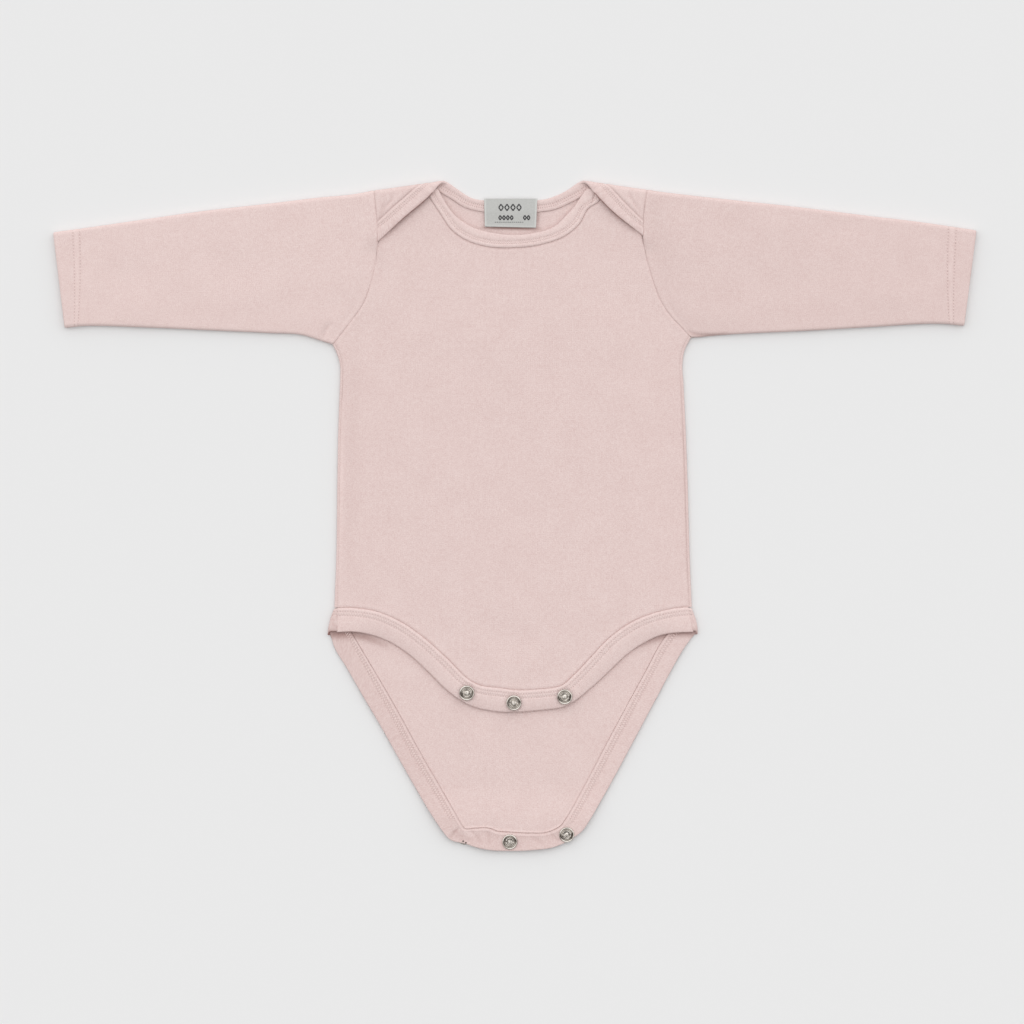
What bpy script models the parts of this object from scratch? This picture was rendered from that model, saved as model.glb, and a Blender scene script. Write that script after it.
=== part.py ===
"""A baby's long-sleeved bodysuit with envelope shoulders, laid flat on its back.

The garment lies on the XY plane: +X is the right sleeve as seen from above, +Y is
the neck, +Z is up out of the surface it lies on. Tables and sizes are in
millimetres. Left and right are those of someone who looks down at the garment.
"""
import math
from collections import namedtuple

import bmesh
import bpy
import numpy as np

MM = 0.001

# Walls
CLOTH = 1.1          # interlock jersey, as one wall
BINDING = 1.5        # folded binding, as one wall
HEM = 1.5            # sleeve where its hem is turned in
LABEL = 1.0          # folded woven label

# Gaps
SEAM_GAP = 0.4       # between two pieces that are sewn edge to edge
LAY_GAP = 0.35       # between two pieces that lie on each other
SHOULDER_GAP = 1.0   # from the front panel's end to the inside of the shoulder fold

# Heights of the outer faces above the surface
SIDE_HEIGHT = 2.7    # front panel where the side seams fold
HIP_HEIGHT = 3.4     # front leg binding where the back one folds round to meet it
LAP_ARM_HEIGHT = 4.7     # shoulder lap at the armhole
LAP_NECK_HEIGHT = 5.6    # shoulder lap at the neck, where three bindings lie on each other
FRONT_CROWN = 1.0    # how far the middle of the front stands above its sides
FRONT_HALF_WIDTH = 104.0
CROWN_END = 165.0    # where the crown has died out, under the laps, and over what length
CROWN_FADE = 30.0
FOOT_RISE = 1.4      # how far the snaps lift the end of the back flap
FOOT_RISE_START = -160.0     # where that lift starts, and over what length it grows
FOOT_RISE_LENGTH = 24.0
SLEEVE_UNDERARM_HEIGHT = 3.0
SLEEVE_SHOULDER_HEIGHT = 4.4
SLEEVE_CUFF_HEIGHT = 3.9
SLEEVE_CROWN = 0.9
SLEEVE_CROWN_FADE = 0.25     # share of the sleeve's length at each end without the full crown
BINDING_PROUD = 0.7  # binding above the panel that it is sewn to

# Hems
SLEEVE_HEM_DEPTH = 14.0
HEM_STEP = 0.01      # share of the sleeve's length over which its wall thickens at the hem

# Net divisions
LEG_STEPS = 28       # across the front panel, along the front leg binding
NECK_STEPS = 26      # across the back panel, along the back neck binding
SIDE_ROWS = 4
UNDERARM_ROWS = 4
ARMHOLE_ROWS = 9
LAP_ROWS = 3
FLAP_ROWS = 13
SHOULDER_STEPS = 4
BINDING_STEPS = 4    # across a leg binding
NECK_BINDING_STEPS = 3
ARC_STEPS = 6        # round a half turn
SLEEVE_STEPS = 10    # along a sleeve
FINE_STEPS = 240     # along a line that others are read from

Point = namedtuple("Point", "x y")
Section = namedtuple("Section", "seam_x seam_y edge_x edge_y")
SleeveSection = namedtuple("SleeveSection", "top_x top_y under_x under_y")
Shoulder = namedtuple("Shoulder", "arm neck")

# Side folds, from the leg binding up to the underarm, and round the underarm
SIDE_LEFT = [Point(*row) for row in (
    (-108.2, -54.6), (-107.1, -25.9), (-106.5, 17.2), (-105.9, 50.9), (-104.7, 82.0))]
SIDE_RIGHT = [Point(*row) for row in (
    (105.9, -54.4), (104.7, -25.9), (103.5, 17.2), (102.3, 50.9), (100.9, 80.0))]
UNDERARM_LEFT = [Point(*row) for row in (
    (-104.7, 82.0), (-104.9, 91.0), (-106.6, 97.4), (-109.3, 103.0))]
UNDERARM_RIGHT = [Point(*row) for row in (
    (100.9, 80.0), (100.3, 91.0), (101.6, 99.4), (105.5, 107.2))]

# Armhole seams, from the underarm up to the shoulder fold
ARMHOLE_LEFT = [Point(*row) for row in (
    (-109.3, 103.0), (-104.1, 109.6), (-98.7, 116.5), (-90.9, 127.6), (-86.1, 141.4),
    (-83.1, 155.8), (-82.1, 165.4), (-82.6, 176.2), (-83.7, 186.4), (-84.3, 195.4))]
ARMHOLE_RIGHT = [Point(*row) for row in (
    (105.5, 107.2), (99.8, 113.2), (92.7, 120.8), (87.3, 129.4), (82.2, 143.2),
    (78.7, 155.2), (76.7, 166.7), (76.7, 176.2), (77.7, 186.4), (78.9, 195.8))]

# Shoulder folds: the outermost line of each, from the armhole to the neck
SHOULDER_LEFT = Shoulder(Point(-84.3, 195.4), Point(-46.5, 200.6))
SHOULDER_RIGHT = Shoulder(Point(78.9, 195.8), Point(43.3, 200.9))

# Back neck binding: along the left lap as it lies folded, across the back neck, and
# along the right lap
NECK_LAP_LEFT = [Section(*row) for row in (
    (-82.2, 176.5, -81.8, 164.4), (-73.0, 185.5, -66.3, 178.7), (-58.7, 198.0, -50.7, 192.2))]
NECK_BACK = [Section(*row) for row in (
    (-38.7, 190.7, -34.6, 196.2), (-29.1, 184.9, -26.0, 190.9), (-18.6, 182.4, -17.6, 189.3),
    (-2.7, 181.6, -2.7, 188.8), (13.5, 182.4, 12.6, 189.4), (24.0, 184.1, 21.0, 190.9),
    (33.7, 188.3, 29.3, 194.4))]
NECK_LAP_RIGHT = [Section(*row) for row in (
    (55.8, 198.6, 48.1, 192.9), (65.5, 188.5, 59.1, 181.7), (76.4, 177.3, 76.3, 168.0))]

# Front neck binding, from the left lap round to the right one
NECK_FRONT = [Section(*row) for row in (
    (-53.5, 195.1, -46.2, 196.3), (-48.4, 187.1, -41.0, 187.2), (-44.4, 181.1, -37.6, 182.4),
    (-38.0, 172.0, -32.1, 177.5), (-27.7, 165.0, -23.7, 172.8), (-16.3, 161.8, -15.3, 170.4),
    (-0.3, 161.2, -1.7, 168.9), (15.7, 163.1, 13.1, 170.2), (29.7, 168.1, 23.9, 174.1),
    (38.8, 175.8, 31.0, 180.8), (44.0, 184.8, 36.8, 187.6), (51.0, 195.4, 43.1, 196.6))]

# Front leg binding, from the left hip under the crotch to the right hip
LEG_FRONT = [Section(*row) for row in (
    (-106.3, -54.9, -106.9, -69.8), (-97.5, -55.0, -98.1, -69.4), (-83.5, -57.0, -87.0, -71.1),
    (-68.9, -63.1, -75.1, -75.5), (-55.4, -72.3, -63.1, -83.4), (-41.2, -84.9, -51.4, -94.1),
    (-28.2, -97.6, -39.1, -105.8), (-21.9, -101.0, -28.9, -112.6), (-8.7, -103.0, -10.5, -117.3),
    (1.3, -104.2, 0.9, -117.4), (15.3, -103.6, 15.8, -116.4), (27.3, -101.7, 31.1, -113.7),
    (35.1, -95.4, 44.7, -103.8), (45.3, -84.8, 55.9, -93.6), (56.0, -73.5, 67.0, -83.2),
    (68.6, -64.3, 76.3, -76.7), (81.1, -58.8, 86.7, -71.7), (94.5, -55.4, 96.9, -70.0),
    (103.9, -54.4, 106.9, -69.7))]

# Back leg binding below its hip folds: left side, foot of the flap, right side
LEG_BACK_LEFT = [Section(*row) for row in (
    (-106.2, -55.2, -110.7, -71.2), (-102.6, -61.8, -108.1, -79.2), (-97.9, -70.2, -101.6, -89.9),
    (-90.9, -82.0, -96.2, -99.2), (-83.0, -95.2, -90.7, -108.8), (-70.1, -117.5, -80.6, -125.9),
    (-57.9, -139.9, -69.2, -146.2), (-47.6, -157.9, -59.6, -163.1), (-38.3, -173.9, -50.7, -178.1),
    (-32.5, -184.0, -44.6, -187.4))]
LEG_BACK_FOOT = [Section(*row) for row in (
    (-32.5, -184.0, -44.6, -187.4), (-29.8, -187.4, -39.0, -193.8), (-24.3, -187.1, -30.0, -196.4),
    (-14.9, -187.2, -20.3, -199.3), (-10.8, -188.8, -14.0, -200.3), (-3.5, -189.4, -5.6, -200.7),
    (9.3, -190.0, 9.3, -200.3), (19.5, -189.4, 23.4, -198.4), (27.3, -185.6, 33.4, -193.8),
    (30.9, -180.8, 39.8, -189.2), (35.9, -172.5, 46.0, -180.4))]
LEG_BACK_RIGHT = [Section(*row) for row in (
    (35.9, -172.5, 46.0, -180.4), (46.4, -152.8, 58.6, -158.2), (57.1, -132.4, 70.2, -136.6),
    (64.4, -118.8, 77.5, -122.8), (71.7, -105.3, 85.2, -108.4), (79.8, -90.5, 93.7, -92.5),
    (87.6, -76.0, 100.8, -80.1), (95.9, -65.1, 105.5, -73.6), (104.1, -55.0, 107.9, -70.7))]

# Where the back leg binding folds round the hips, from its seam to its edge, and
# how far it runs on over the front before it meets the front binding
HipSection = namedtuple("HipSection", "x y lap")
HIP_LEFT = [HipSection(*row) for row in (
    (-108.3, -55.2, 0.1), (-110.1, -59.5, 1.2), (-111.3, -64.3, 2.2), (-112.5, -70.9, 3.4))]
HIP_RIGHT = [HipSection(*row) for row in (
    (105.9, -54.9, 0.1), (107.7, -59.5, 0.2), (108.9, -64.3, 0.3), (109.6, -70.4, 0.4))]

# Sleeves, from the armhole to the cuff
SLEEVE_LEFT = [SleeveSection(*row) for row in (
    (-84.3, 195.4, -109.3, 103.0), (-97.5, 193.0, -116.7, 105.3), (-116.7, 191.2, -127.5, 108.6),
    (-145.5, 187.7, -147.0, 109.8), (-183.9, 183.4, -183.9, 111.5), (-222.3, 178.0, -222.3, 113.2),
    (-251.1, 173.8, -255.9, 114.1), (-276.9, 170.2, -270.0, 113.0))]
SLEEVE_RIGHT = [SleeveSection(*row) for row in (
    (78.9, 195.8, 105.5, 107.2), (87.9, 194.5, 110.1, 107.3), (105.3, 192.4, 116.1, 108.0),
    (132.9, 189.4, 133.5, 109.3), (171.3, 185.2, 171.3, 111.0), (209.7, 180.4, 209.7, 113.2),
    (248.1, 175.7, 252.9, 115.4), (276.7, 171.4, 269.3, 114.2))]

# Label: top edge over the neck binding, bottom edge over the back panel
LABEL_TOP = (Point(-18.5, 190.4), Point(13.4, 190.4))
LABEL_BOTTOM = (Point(-18.1, 173.6), Point(12.6, 172.9))

# Snaps, each ring's radius and height from its middle out
SNAP_SEGMENTS = 14
SnapStep = namedtuple("SnapStep", "radius height")
SNAP_RADIUS = 4.55
SNAP_FACE = [SnapStep(*row) for row in (
    (0.9, 1.0), (1.4, 0.6), (2.2, 1.2), (2.9, 0.6), (3.5, 1.3), (4.2, 1.3), (SNAP_RADIUS, 0.6))]
SNAP_BASE_HEIGHT = 1.05
SNAP_BASE_HOLE = 1.9
SNAP_FRONT = {"left": Point(-28.9, -105.9), "middle": Point(-0.7, -111.8), "right": Point(29.8, -108.2)}
SNAP_BACK = {"left": Point(-30.4, -192.5), "middle": Point(-3.1, -195.2), "right": Point(31.0, -190.9)}


def clear_scene():
    for old in list(bpy.data.objects):
        bpy.data.objects.remove(old, do_unlink=True)


def finish(name, colour, roughness, metallic=0.0):
    """A Principled material of one linear colour."""
    material = bpy.data.materials.new(name)
    material.use_nodes = True
    shader = material.node_tree.nodes["Principled BSDF"]
    shader.inputs["Base Color"].default_value = (*colour, 1.0)
    shader.inputs["Roughness"].default_value = roughness
    shader.inputs["Metallic"].default_value = metallic
    return material


# --- plan geometry -----------------------------------------------------------------

def smooth(rows, steps):
    """STEPS + 1 rows, evenly spaced along a smooth curve through ROWS."""
    knots = np.array(rows, dtype=float)
    chords = np.sqrt((np.diff(knots, axis=0) ** 2).sum(axis=1))
    lengths = np.concatenate([[0.0], np.cumsum(chords)])
    before = np.vstack([2 * knots[0] - knots[1], knots[:-1]])
    after = np.vstack([knots[1:], 2 * knots[-1] - knots[-2]])
    ahead = np.concatenate([chords, chords[-1:]])[:, None]
    behind = np.concatenate([chords[:1], chords])[:, None]
    tangents = ((after - knots) / ahead * behind + (knots - before) / behind * ahead) / (ahead + behind)
    fine = []
    for index, chord in enumerate(chords):
        for share in np.linspace(0.0, 1.0, 12, endpoint=False):
            square, cube = share ** 2, share ** 3
            fine.append((2 * cube - 3 * square + 1) * knots[index]
                        + (cube - 2 * square + share) * chord * tangents[index]
                        + (3 * square - 2 * cube) * knots[index + 1]
                        + (cube - square) * chord * tangents[index + 1])
    fine = np.array(fine + [knots[-1]])
    run = np.concatenate([[0.0], np.cumsum(np.sqrt((np.diff(fine, axis=0) ** 2).sum(axis=1)))])
    wanted = np.linspace(0.0, run[-1], steps + 1)
    return np.stack([np.interp(wanted, run, column) for column in fine.T], axis=1)


def moved_left(line, distance):
    """LINE of plan points, each moved by DISTANCE to the left of the way it runs."""
    run = np.gradient(line, axis=0)
    run /= np.linalg.norm(run, axis=1)[:, None]
    return line + np.stack([-run[:, 1], run[:, 0]], axis=1) * np.reshape(distance, (-1, 1))


def join(*lines):
    """Lines end to end, each point that two of them share taken once."""
    return np.vstack([lines[0]] + [line[1:] for line in lines[1:]])


def net(bottom, top, left, right):
    """Rows of points stretched between four edges; LEFT and RIGHT run from BOTTOM to TOP."""
    across = np.linspace(0.0, 1.0, len(bottom))[None, :, None]
    up = np.linspace(0.0, 1.0, len(left))[:, None, None]
    corners = ((1 - across) * (1 - up) * bottom[0] + across * (1 - up) * bottom[-1]
               + (1 - across) * up * top[0] + across * up * top[-1])
    return ((1 - up) * bottom[None] + up * top[None]
            + (1 - across) * left[:, None] + across * right[:, None] - corners)


def strip(inner, outer, steps):
    """Rows of points from the line INNER to the line OUTER."""
    return np.stack([inner + (outer - inner) * share for share in np.linspace(0.0, 1.0, steps + 1)])


def ease(value):
    """0 below 0, 1 above 1 and a soft step between."""
    share = min(max(value, 0.0), 1.0)
    return share * share * (3 - 2 * share)


# --- heights -----------------------------------------------------------------------

def front_height(x, y):
    """Outer face of the front panel: a soft crown that dies out at the sides and the laps."""
    across = 1 - min(abs(x) / FRONT_HALF_WIDTH, 1.0) ** 2.5
    below_laps = ease((CROWN_END - y) / CROWN_FADE)
    return SIDE_HEIGHT + FRONT_CROWN * across * below_laps


def foot_height(y):
    """Underside of the back flap, lifted by the snaps in its end."""
    return FOOT_RISE * ease((FOOT_RISE_START - y) / FOOT_RISE_LENGTH)


# --- the shoulder fold --------------------------------------------------------------

def shoulder_frame(shoulder, point):
    """Place of POINT along a shoulder fold, how far outside its outermost line, and its axes."""
    arm, neck = np.array(shoulder.arm), np.array(shoulder.neck)
    along = (neck - arm) / np.linalg.norm(neck - arm)
    outward = np.array([-along[1], along[0]])
    if outward[1] < 0:
        outward = -outward
    offset = np.array(point[:2]) - arm
    place = float(offset @ along)
    share = place / np.linalg.norm(neck - arm)
    radius = (LAP_ARM_HEIGHT + (LAP_NECK_HEIGHT - LAP_ARM_HEIGHT) * share) / 2
    return arm + along * place, outward, float(offset @ outward), radius


def folded(shoulder, point, depth):
    """Where a point of the flat cloth, DEPTH below its outer face, lies once the lap is folded."""
    foot, outward, out, radius = shoulder_frame(shoulder, point)
    travel = out + radius
    if travel <= 0:
        return (point[0], point[1], depth)
    angle = min(travel / radius, math.pi)
    past = max(travel - math.pi * radius, 0.0)
    plan = foot + outward * ((radius - depth) * math.sin(angle) - radius - past)
    return (plan[0], plan[1], radius - (radius - depth) * math.cos(angle))


def unfolded(shoulder, point):
    """The flat cloth's point for a place on top of the folded lap."""
    foot, outward, out, radius = shoulder_frame(shoulder, point)
    if out > -radius:
        travel = radius * (math.pi - math.asin((out + radius) / radius))
    else:
        travel = math.pi * radius - out - radius
    return foot + outward * (travel - radius)


def fold_shoulders(mesh, wall):
    """Creases the flat MESH along both shoulder folds and turns the laps forward."""
    for shoulder, side in ((SHOULDER_LEFT, -1), (SHOULDER_RIGHT, 1)):
        for step in range(ARC_STEPS + 1):
            ends = []
            for end in shoulder:
                foot, outward, _, radius = shoulder_frame(shoulder, end)
                ends.append(foot + outward * radius * (math.pi * step / ARC_STEPS - 1))
            run = ends[1] - ends[0]
            faces = [face for face in mesh.faces if face.calc_center_median().x * side > 0]
            edges = {edge for face in faces for edge in face.edges}
            verts = {vert for face in faces for vert in face.verts}
            bmesh.ops.bisect_plane(mesh, geom=[*verts, *edges, *faces], dist=0.25,
                                   plane_co=(*ends[0], 0.0), plane_no=(-run[1], run[0], 0.0))
    inner = mesh.verts.layers.float_vector["inner"]
    for vert in mesh.verts:
        shoulder = SHOULDER_LEFT if vert.co.x < 0 else SHOULDER_RIGHT
        flat = vert.co.copy()
        vert.co = folded(shoulder, flat, 0.0)
        vert[inner] = folded(shoulder, flat, wall)


# --- meshes --------------------------------------------------------------------------

def new_sheet():
    """An empty mesh whose vertices also keep the place of the inner face below them."""
    mesh = bmesh.new()
    mesh.verts.layers.float_vector.new("inner")
    return mesh


def add_net(mesh, outer, inner, flip=False, ring=False):
    """Quads over rows of outer points; rows and columns that run to +Y and +X face up
    unless FLIP, and RING joins each row's last point to its first."""
    layer = mesh.verts.layers.float_vector["inner"]
    verts = []
    for outer_row, inner_row in zip(outer, inner):
        verts.append([mesh.verts.new(point) for point in outer_row])
        for vert, point in zip(verts[-1], inner_row):
            vert[layer] = point
    for low, high in zip(verts, verts[1:]):
        for first in range(len(low) - (not ring)):
            after = (first + 1) % len(low)
            corners = [low[first], low[after], high[after], high[first]]
            mesh.faces.new(corners[::-1] if flip else corners)
    return verts


def thicken(mesh):
    """Closes a sheet into a wall with its inner face and a rim along every free edge."""
    layer = mesh.verts.layers.float_vector["inner"]
    rim = [loop for edge in mesh.edges if edge.is_boundary for loop in edge.link_loops]
    ends = [(loop.vert, loop.link_loop_next.vert) for loop in rim]
    faces = list(mesh.faces)
    twins = {vert: mesh.verts.new(vert[layer]) for vert in list(mesh.verts)}
    for face in faces:
        mesh.faces.new([twins[vert] for vert in reversed(face.verts)])
    for start, end in ends:
        mesh.faces.new([end, start, twins[start], twins[end]])


def at_height(points, height):
    """Plan points given a height, a number or a function of x and y."""
    rise = height if callable(height) else lambda x, y: height
    return np.array([[(x, y, rise(x, y)) for x, y in row] for row in points])


def below(outer, wall):
    """The points of an upper net, moved down through its wall."""
    return outer - np.array([0.0, 0.0, wall])


def piece(name, mesh, material):
    """An object in metres from a closed mesh in millimetres."""
    bmesh.ops.scale(mesh, vec=(MM, MM, MM), verts=mesh.verts)
    data = bpy.data.meshes.new(name)
    mesh.to_mesh(data)
    mesh.free()
    data.materials.append(material)
    item = bpy.data.objects.new(name, data)
    bpy.context.collection.objects.link(item)
    return item


# --- shared seam lines -----------------------------------------------------------------

def side_line(side, underarm):
    """Outermost line of a side fold, with more rows round the underarm."""
    return join(smooth(side, SIDE_ROWS), smooth(underarm, UNDERARM_ROWS))


def armhole_edge(armhole, turn, start, below_fold):
    """A body panel's edge along an armhole seam, from START past the underarm to a place
    BELOW_FOLD the shoulder fold's outermost line."""
    line = [np.array(point) for point in armhole]
    line[-1] = line[-1] - np.array([0.0, below_fold])
    fine = moved_left(smooth(line, FINE_STEPS), SEAM_GAP / 2 * turn)
    run = np.concatenate([[0.0], np.cumsum(np.linalg.norm(np.diff(fine, axis=0), axis=1))])
    wanted = np.linspace(start, run[-1], ARMHOLE_ROWS + 1)
    return np.stack([np.interp(wanted, run, column) for column in fine.T], axis=1)


def lap_edge(shoulder, start, end):
    """Flat edge of a lap along its armhole, from START at the shoulder fold to its END."""
    middle = (start + np.array(end)) / 2
    return smooth([start] + [unfolded(shoulder, point) for point in (start, middle, end)], LAP_ROWS)


def neck_sections():
    """Seam and free edge of the back neck binding on the flat cloth."""
    rows = []
    for table, shoulder in ((NECK_LAP_LEFT, SHOULDER_LEFT), (NECK_BACK, None),
                            (NECK_LAP_RIGHT, SHOULDER_RIGHT)):
        for row in table:
            seam, edge = (row.seam_x, row.seam_y), (row.edge_x, row.edge_y)
            if shoulder:
                seam, edge = unfolded(shoulder, seam), unfolded(shoulder, edge)
            rows.append((*seam, *edge))
    sections = smooth(rows, NECK_STEPS)
    return sections[:, :2], sections[:, 2:]


# --- pieces ---------------------------------------------------------------------------

def make_back_panel(material):
    """The back: flap, body, and the laps that fold forward at the shoulders."""
    half = SEAM_GAP / 2
    radius = SIDE_HEIGHT / 2
    foot = moved_left(smooth(LEG_BACK_FOOT, NECK_STEPS)[:, :2], half)
    top = moved_left(neck_sections()[0], -half)
    edges, crests = [], []
    for flap, side, underarm, armhole, shoulder, lap_end, turn in (
            (LEG_BACK_LEFT[::-1], SIDE_LEFT, UNDERARM_LEFT, ARMHOLE_LEFT, SHOULDER_LEFT,
             NECK_LAP_LEFT[0], -1),
            (LEG_BACK_RIGHT, SIDE_RIGHT, UNDERARM_RIGHT, ARMHOLE_RIGHT, SHOULDER_RIGHT,
             NECK_LAP_RIGHT[-1], 1)):
        leg = moved_left(smooth(flap, FLAP_ROWS)[:, :2], half * turn)
        crest = side_line(side, underarm)
        body = moved_left(crest, radius * turn)
        hole = armhole_edge(armhole, turn, radius, LAP_ARM_HEIGHT / 2)
        crest[-1] = armhole_edge(armhole, turn, 0.0, LAP_ARM_HEIGHT / 2)[0]
        leg[-1], body[-1] = body[0], hole[0]
        lap = lap_edge(shoulder, hole[-1], np.array(lap_end[:2]) - np.array([half * turn, 0.0]))
        edges.append(join(leg, body, hole, lap))
        crests.append(crest)
    left, right = edges
    foot[0], foot[-1] = left[0], right[0]
    top[0], top[-1] = left[-1], right[-1]

    mesh = new_sheet()
    flat = at_height(net(foot, top, left, right), 0.0)
    verts = add_net(mesh, flat, flat, flip=True)
    side_rows = range(FLAP_ROWS, FLAP_ROWS + SIDE_ROWS + UNDERARM_ROWS + 1)
    fold_shoulders(mesh, CLOTH)
    add_side_fold(mesh, [verts[row][0] for row in side_rows], crests[0], -1)
    add_side_fold(mesh, [verts[row][-1] for row in side_rows], crests[1], 1)
    thicken(mesh)
    for vert in mesh.verts:
        vert.co.z += foot_height(vert.co.y)
    return piece("back_panel", mesh, material)


def add_side_fold(mesh, fold, crest, turn):
    """Carries the edge FOLD on over the outermost line CREST, to end on top of the side."""
    layer = mesh.verts.layers.float_vector["inner"]
    radius = SIDE_HEIGHT / 2
    lines = [fold]
    for step in range(1, ARC_STEPS + 1):
        angle = math.pi * step / ARC_STEPS
        line = []
        for start, (x, y) in zip(fold, crest):
            out = np.array([x - start.co.x, y - start.co.y]) * math.sin(angle)
            vert = mesh.verts.new((start.co.x + out[0], start.co.y + out[1], radius * (1 - math.cos(angle))))
            share = (radius - CLOTH) / radius
            vert[layer] = (start.co.x + out[0] * share, start.co.y + out[1] * share,
                           radius - (radius - CLOTH) * math.cos(angle))
            line.append(vert)
        lines.append(line)
    for near, far in zip(lines, lines[1:]):
        for index in range(len(fold) - 1):
            corners = [near[index], near[index + 1], far[index + 1], far[index]]
            mesh.faces.new(corners if turn > 0 else corners[::-1])


def make_front_panel(material):
    """The front: from the leg binding up to the neck and, under the laps, the shoulders."""
    half = SEAM_GAP / 2
    inset = SIDE_HEIGHT / 2 + SEAM_GAP
    under_fold = LAP_ARM_HEIGHT / 2 + SHOULDER_GAP
    bottom = moved_left(smooth(LEG_FRONT, LEG_STEPS)[:, :2], half)
    neck_steps = LEG_STEPS - 2 * SHOULDER_STEPS
    neck = moved_left(smooth(NECK_FRONT, neck_steps)[:, :2], -half)
    edges = []
    for side, underarm, armhole, turn in ((SIDE_LEFT, UNDERARM_LEFT, ARMHOLE_LEFT, -1),
                                          (SIDE_RIGHT, UNDERARM_RIGHT, ARMHOLE_RIGHT, 1)):
        body = moved_left(side_line(side, underarm), inset * turn)
        hole = armhole_edge(armhole, turn, inset, under_fold)
        body[-1] = hole[0]
        edges.append(join(body, hole))
    left, right = edges
    shoulder_left = np.linspace(left[-1], neck[0], SHOULDER_STEPS + 1)
    shoulder_right = np.linspace(neck[-1], right[-1], SHOULDER_STEPS + 1)
    top = join(shoulder_left, neck, shoulder_right)
    bottom[0], bottom[-1] = left[0], right[0]

    outer = at_height(net(bottom, top, left, right), front_height)
    return upper_piece("front_panel", outer, CLOTH, material)


def upper_piece(name, outer, wall, material, flip=False):
    """A piece that lies face up, from the net of its outer face."""
    mesh = new_sheet()
    add_net(mesh, outer, below(outer, wall), flip=flip)
    thicken(mesh)
    return piece(name, mesh, material)


def make_sleeve(name, table, armhole, turn, material):
    """A sleeve: one flattened tube from the armhole seam to the turned hem at the cuff."""
    fine = smooth(table, FINE_STEPS)
    length = np.linalg.norm(fine[-1, :2] - fine[0, :2])
    hem_start = 1 - SLEEVE_HEM_DEPTH / length
    along = sorted([*np.linspace(0, 1, SLEEVE_STEPS + 1) ** 1.3, hem_start - HEM_STEP, hem_start])
    hole = moved_left(smooth(armhole, FINE_STEPS), -SEAM_GAP / 2 * turn)
    cuff = np.linspace(fine[-1, 2:], fine[-1, :2], FINE_STEPS + 1)
    outer, inner = [], []
    for share in along:
        row = fine[round(share * FINE_STEPS)]
        upper = hole[-1] if share == 0 else row[:2]
        lower = hole[0] if share == 0 else row[2:]
        low = SLEEVE_UNDERARM_HEIGHT + (SLEEVE_CUFF_HEIGHT - SLEEVE_UNDERARM_HEIGHT) * share
        high = SLEEVE_SHOULDER_HEIGHT + (SLEEVE_CUFF_HEIGHT - SLEEVE_SHOULDER_HEIGHT) * share
        for rings, depth in ((outer, 0.0), (inner, HEM if share >= hem_start else CLOTH)):
            ring = []
            for across, height, on_top in sleeve_ring(np.linalg.norm(upper - lower), low, high, depth):
                index = round(across * FINE_STEPS)
                bend = (1 - share) * (hole[index] - (1 - across) * hole[0] - across * hole[-1])
                plan = (1 - across) * lower + across * upper + bend
                plan += share * (cuff[index] - (1 - across) * cuff[0] - across * cuff[-1])
                crown = SLEEVE_CROWN * math.sin(math.pi * across)
                crown *= ease(share / SLEEVE_CROWN_FADE) * ease((1 - share) / SLEEVE_CROWN_FADE)
                ring.append((*plan, height + crown * on_top))
            rings.append(ring)
    mesh = new_sheet()
    add_net(mesh, outer, inner, flip=turn > 0, ring=True)
    thicken(mesh)
    return piece(name, mesh, material)


def sleeve_ring(width, low, high, depth):
    """Points round a flattened sleeve from its underarm fold, DEPTH inside its outer face:
    share of the width, height, on top or not."""
    ring = []
    for step in range(5):
        angle = math.pi * (step / 4 - 0.5)
        reach = low / 2 - depth
        ring.append(((low / 2 - reach * math.cos(angle)) / width, low / 2 + reach * math.sin(angle), 0))
    shares = [row / ARMHOLE_ROWS for row in range(1, ARMHOLE_ROWS)]
    ring += [(share, low + (high - low) * share - depth, 1) for share in shares]
    for step in range(5):
        angle = math.pi * (0.5 - step / 4)
        reach = high / 2 - depth
        inset = high / 2 - reach * math.cos(angle)
        ring.append((1 - inset / width, high / 2 + reach * math.sin(angle), 0))
    return ring + [(share, depth, 0) for share in reversed(shares)]


def make_neck_binding_back(material):
    """The binding of the back neck, which runs on along both laps to the armholes."""
    seam, edge = neck_sections()
    seam = moved_left(seam, SEAM_GAP / 2)
    mesh = new_sheet()
    flat = at_height(strip(seam, edge, NECK_BINDING_STEPS), 0.0)
    add_net(mesh, flat, flat, flip=True)
    fold_shoulders(mesh, BINDING)
    thicken(mesh)
    return piece("neck_binding_back", mesh, material)


def make_neck_binding_front(material):
    """The binding of the front neck, its ends under the laps."""
    sections = smooth(NECK_FRONT, LEG_STEPS - 2 * SHOULDER_STEPS)
    seam = moved_left(sections[:, :2], SEAM_GAP / 2)
    outer = at_height(strip(seam, sections[:, 2:], NECK_BINDING_STEPS), binding_height)
    return upper_piece("neck_binding_front", outer, BINDING, material)


def binding_height(x, y):
    """Outer face of a binding on the front."""
    return front_height(x, y) + BINDING_PROUD


def make_leg_binding_front(material):
    """The binding along the front leg openings and the crotch."""
    sections = smooth(LEG_FRONT, LEG_STEPS)
    seam = moved_left(sections[:, :2], -SEAM_GAP / 2)
    outer = at_height(strip(seam, sections[:, 2:], BINDING_STEPS), binding_height)
    return upper_piece("leg_binding_front", outer, BINDING, material, flip=True)


def hip_fold(table, turn, depth):
    """Lines across the binding round a hip, from the seam on the front to the underside,
    DEPTH inside its outer face."""
    radius = HIP_HEIGHT / 2
    sections = smooth(table, BINDING_STEPS)
    lines = [[(x - turn * (radius + lap), y, HIP_HEIGHT - depth) for x, y, lap in sections]]
    for step in range(ARC_STEPS + 1):
        angle = math.pi * (1 - step / ARC_STEPS)
        inset = radius - (radius - depth) * math.sin(angle)
        rise = radius - (radius - depth) * math.cos(angle)
        lines.append([(x - turn * inset, y, rise) for x, y, lap in sections])
    return lines


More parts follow.
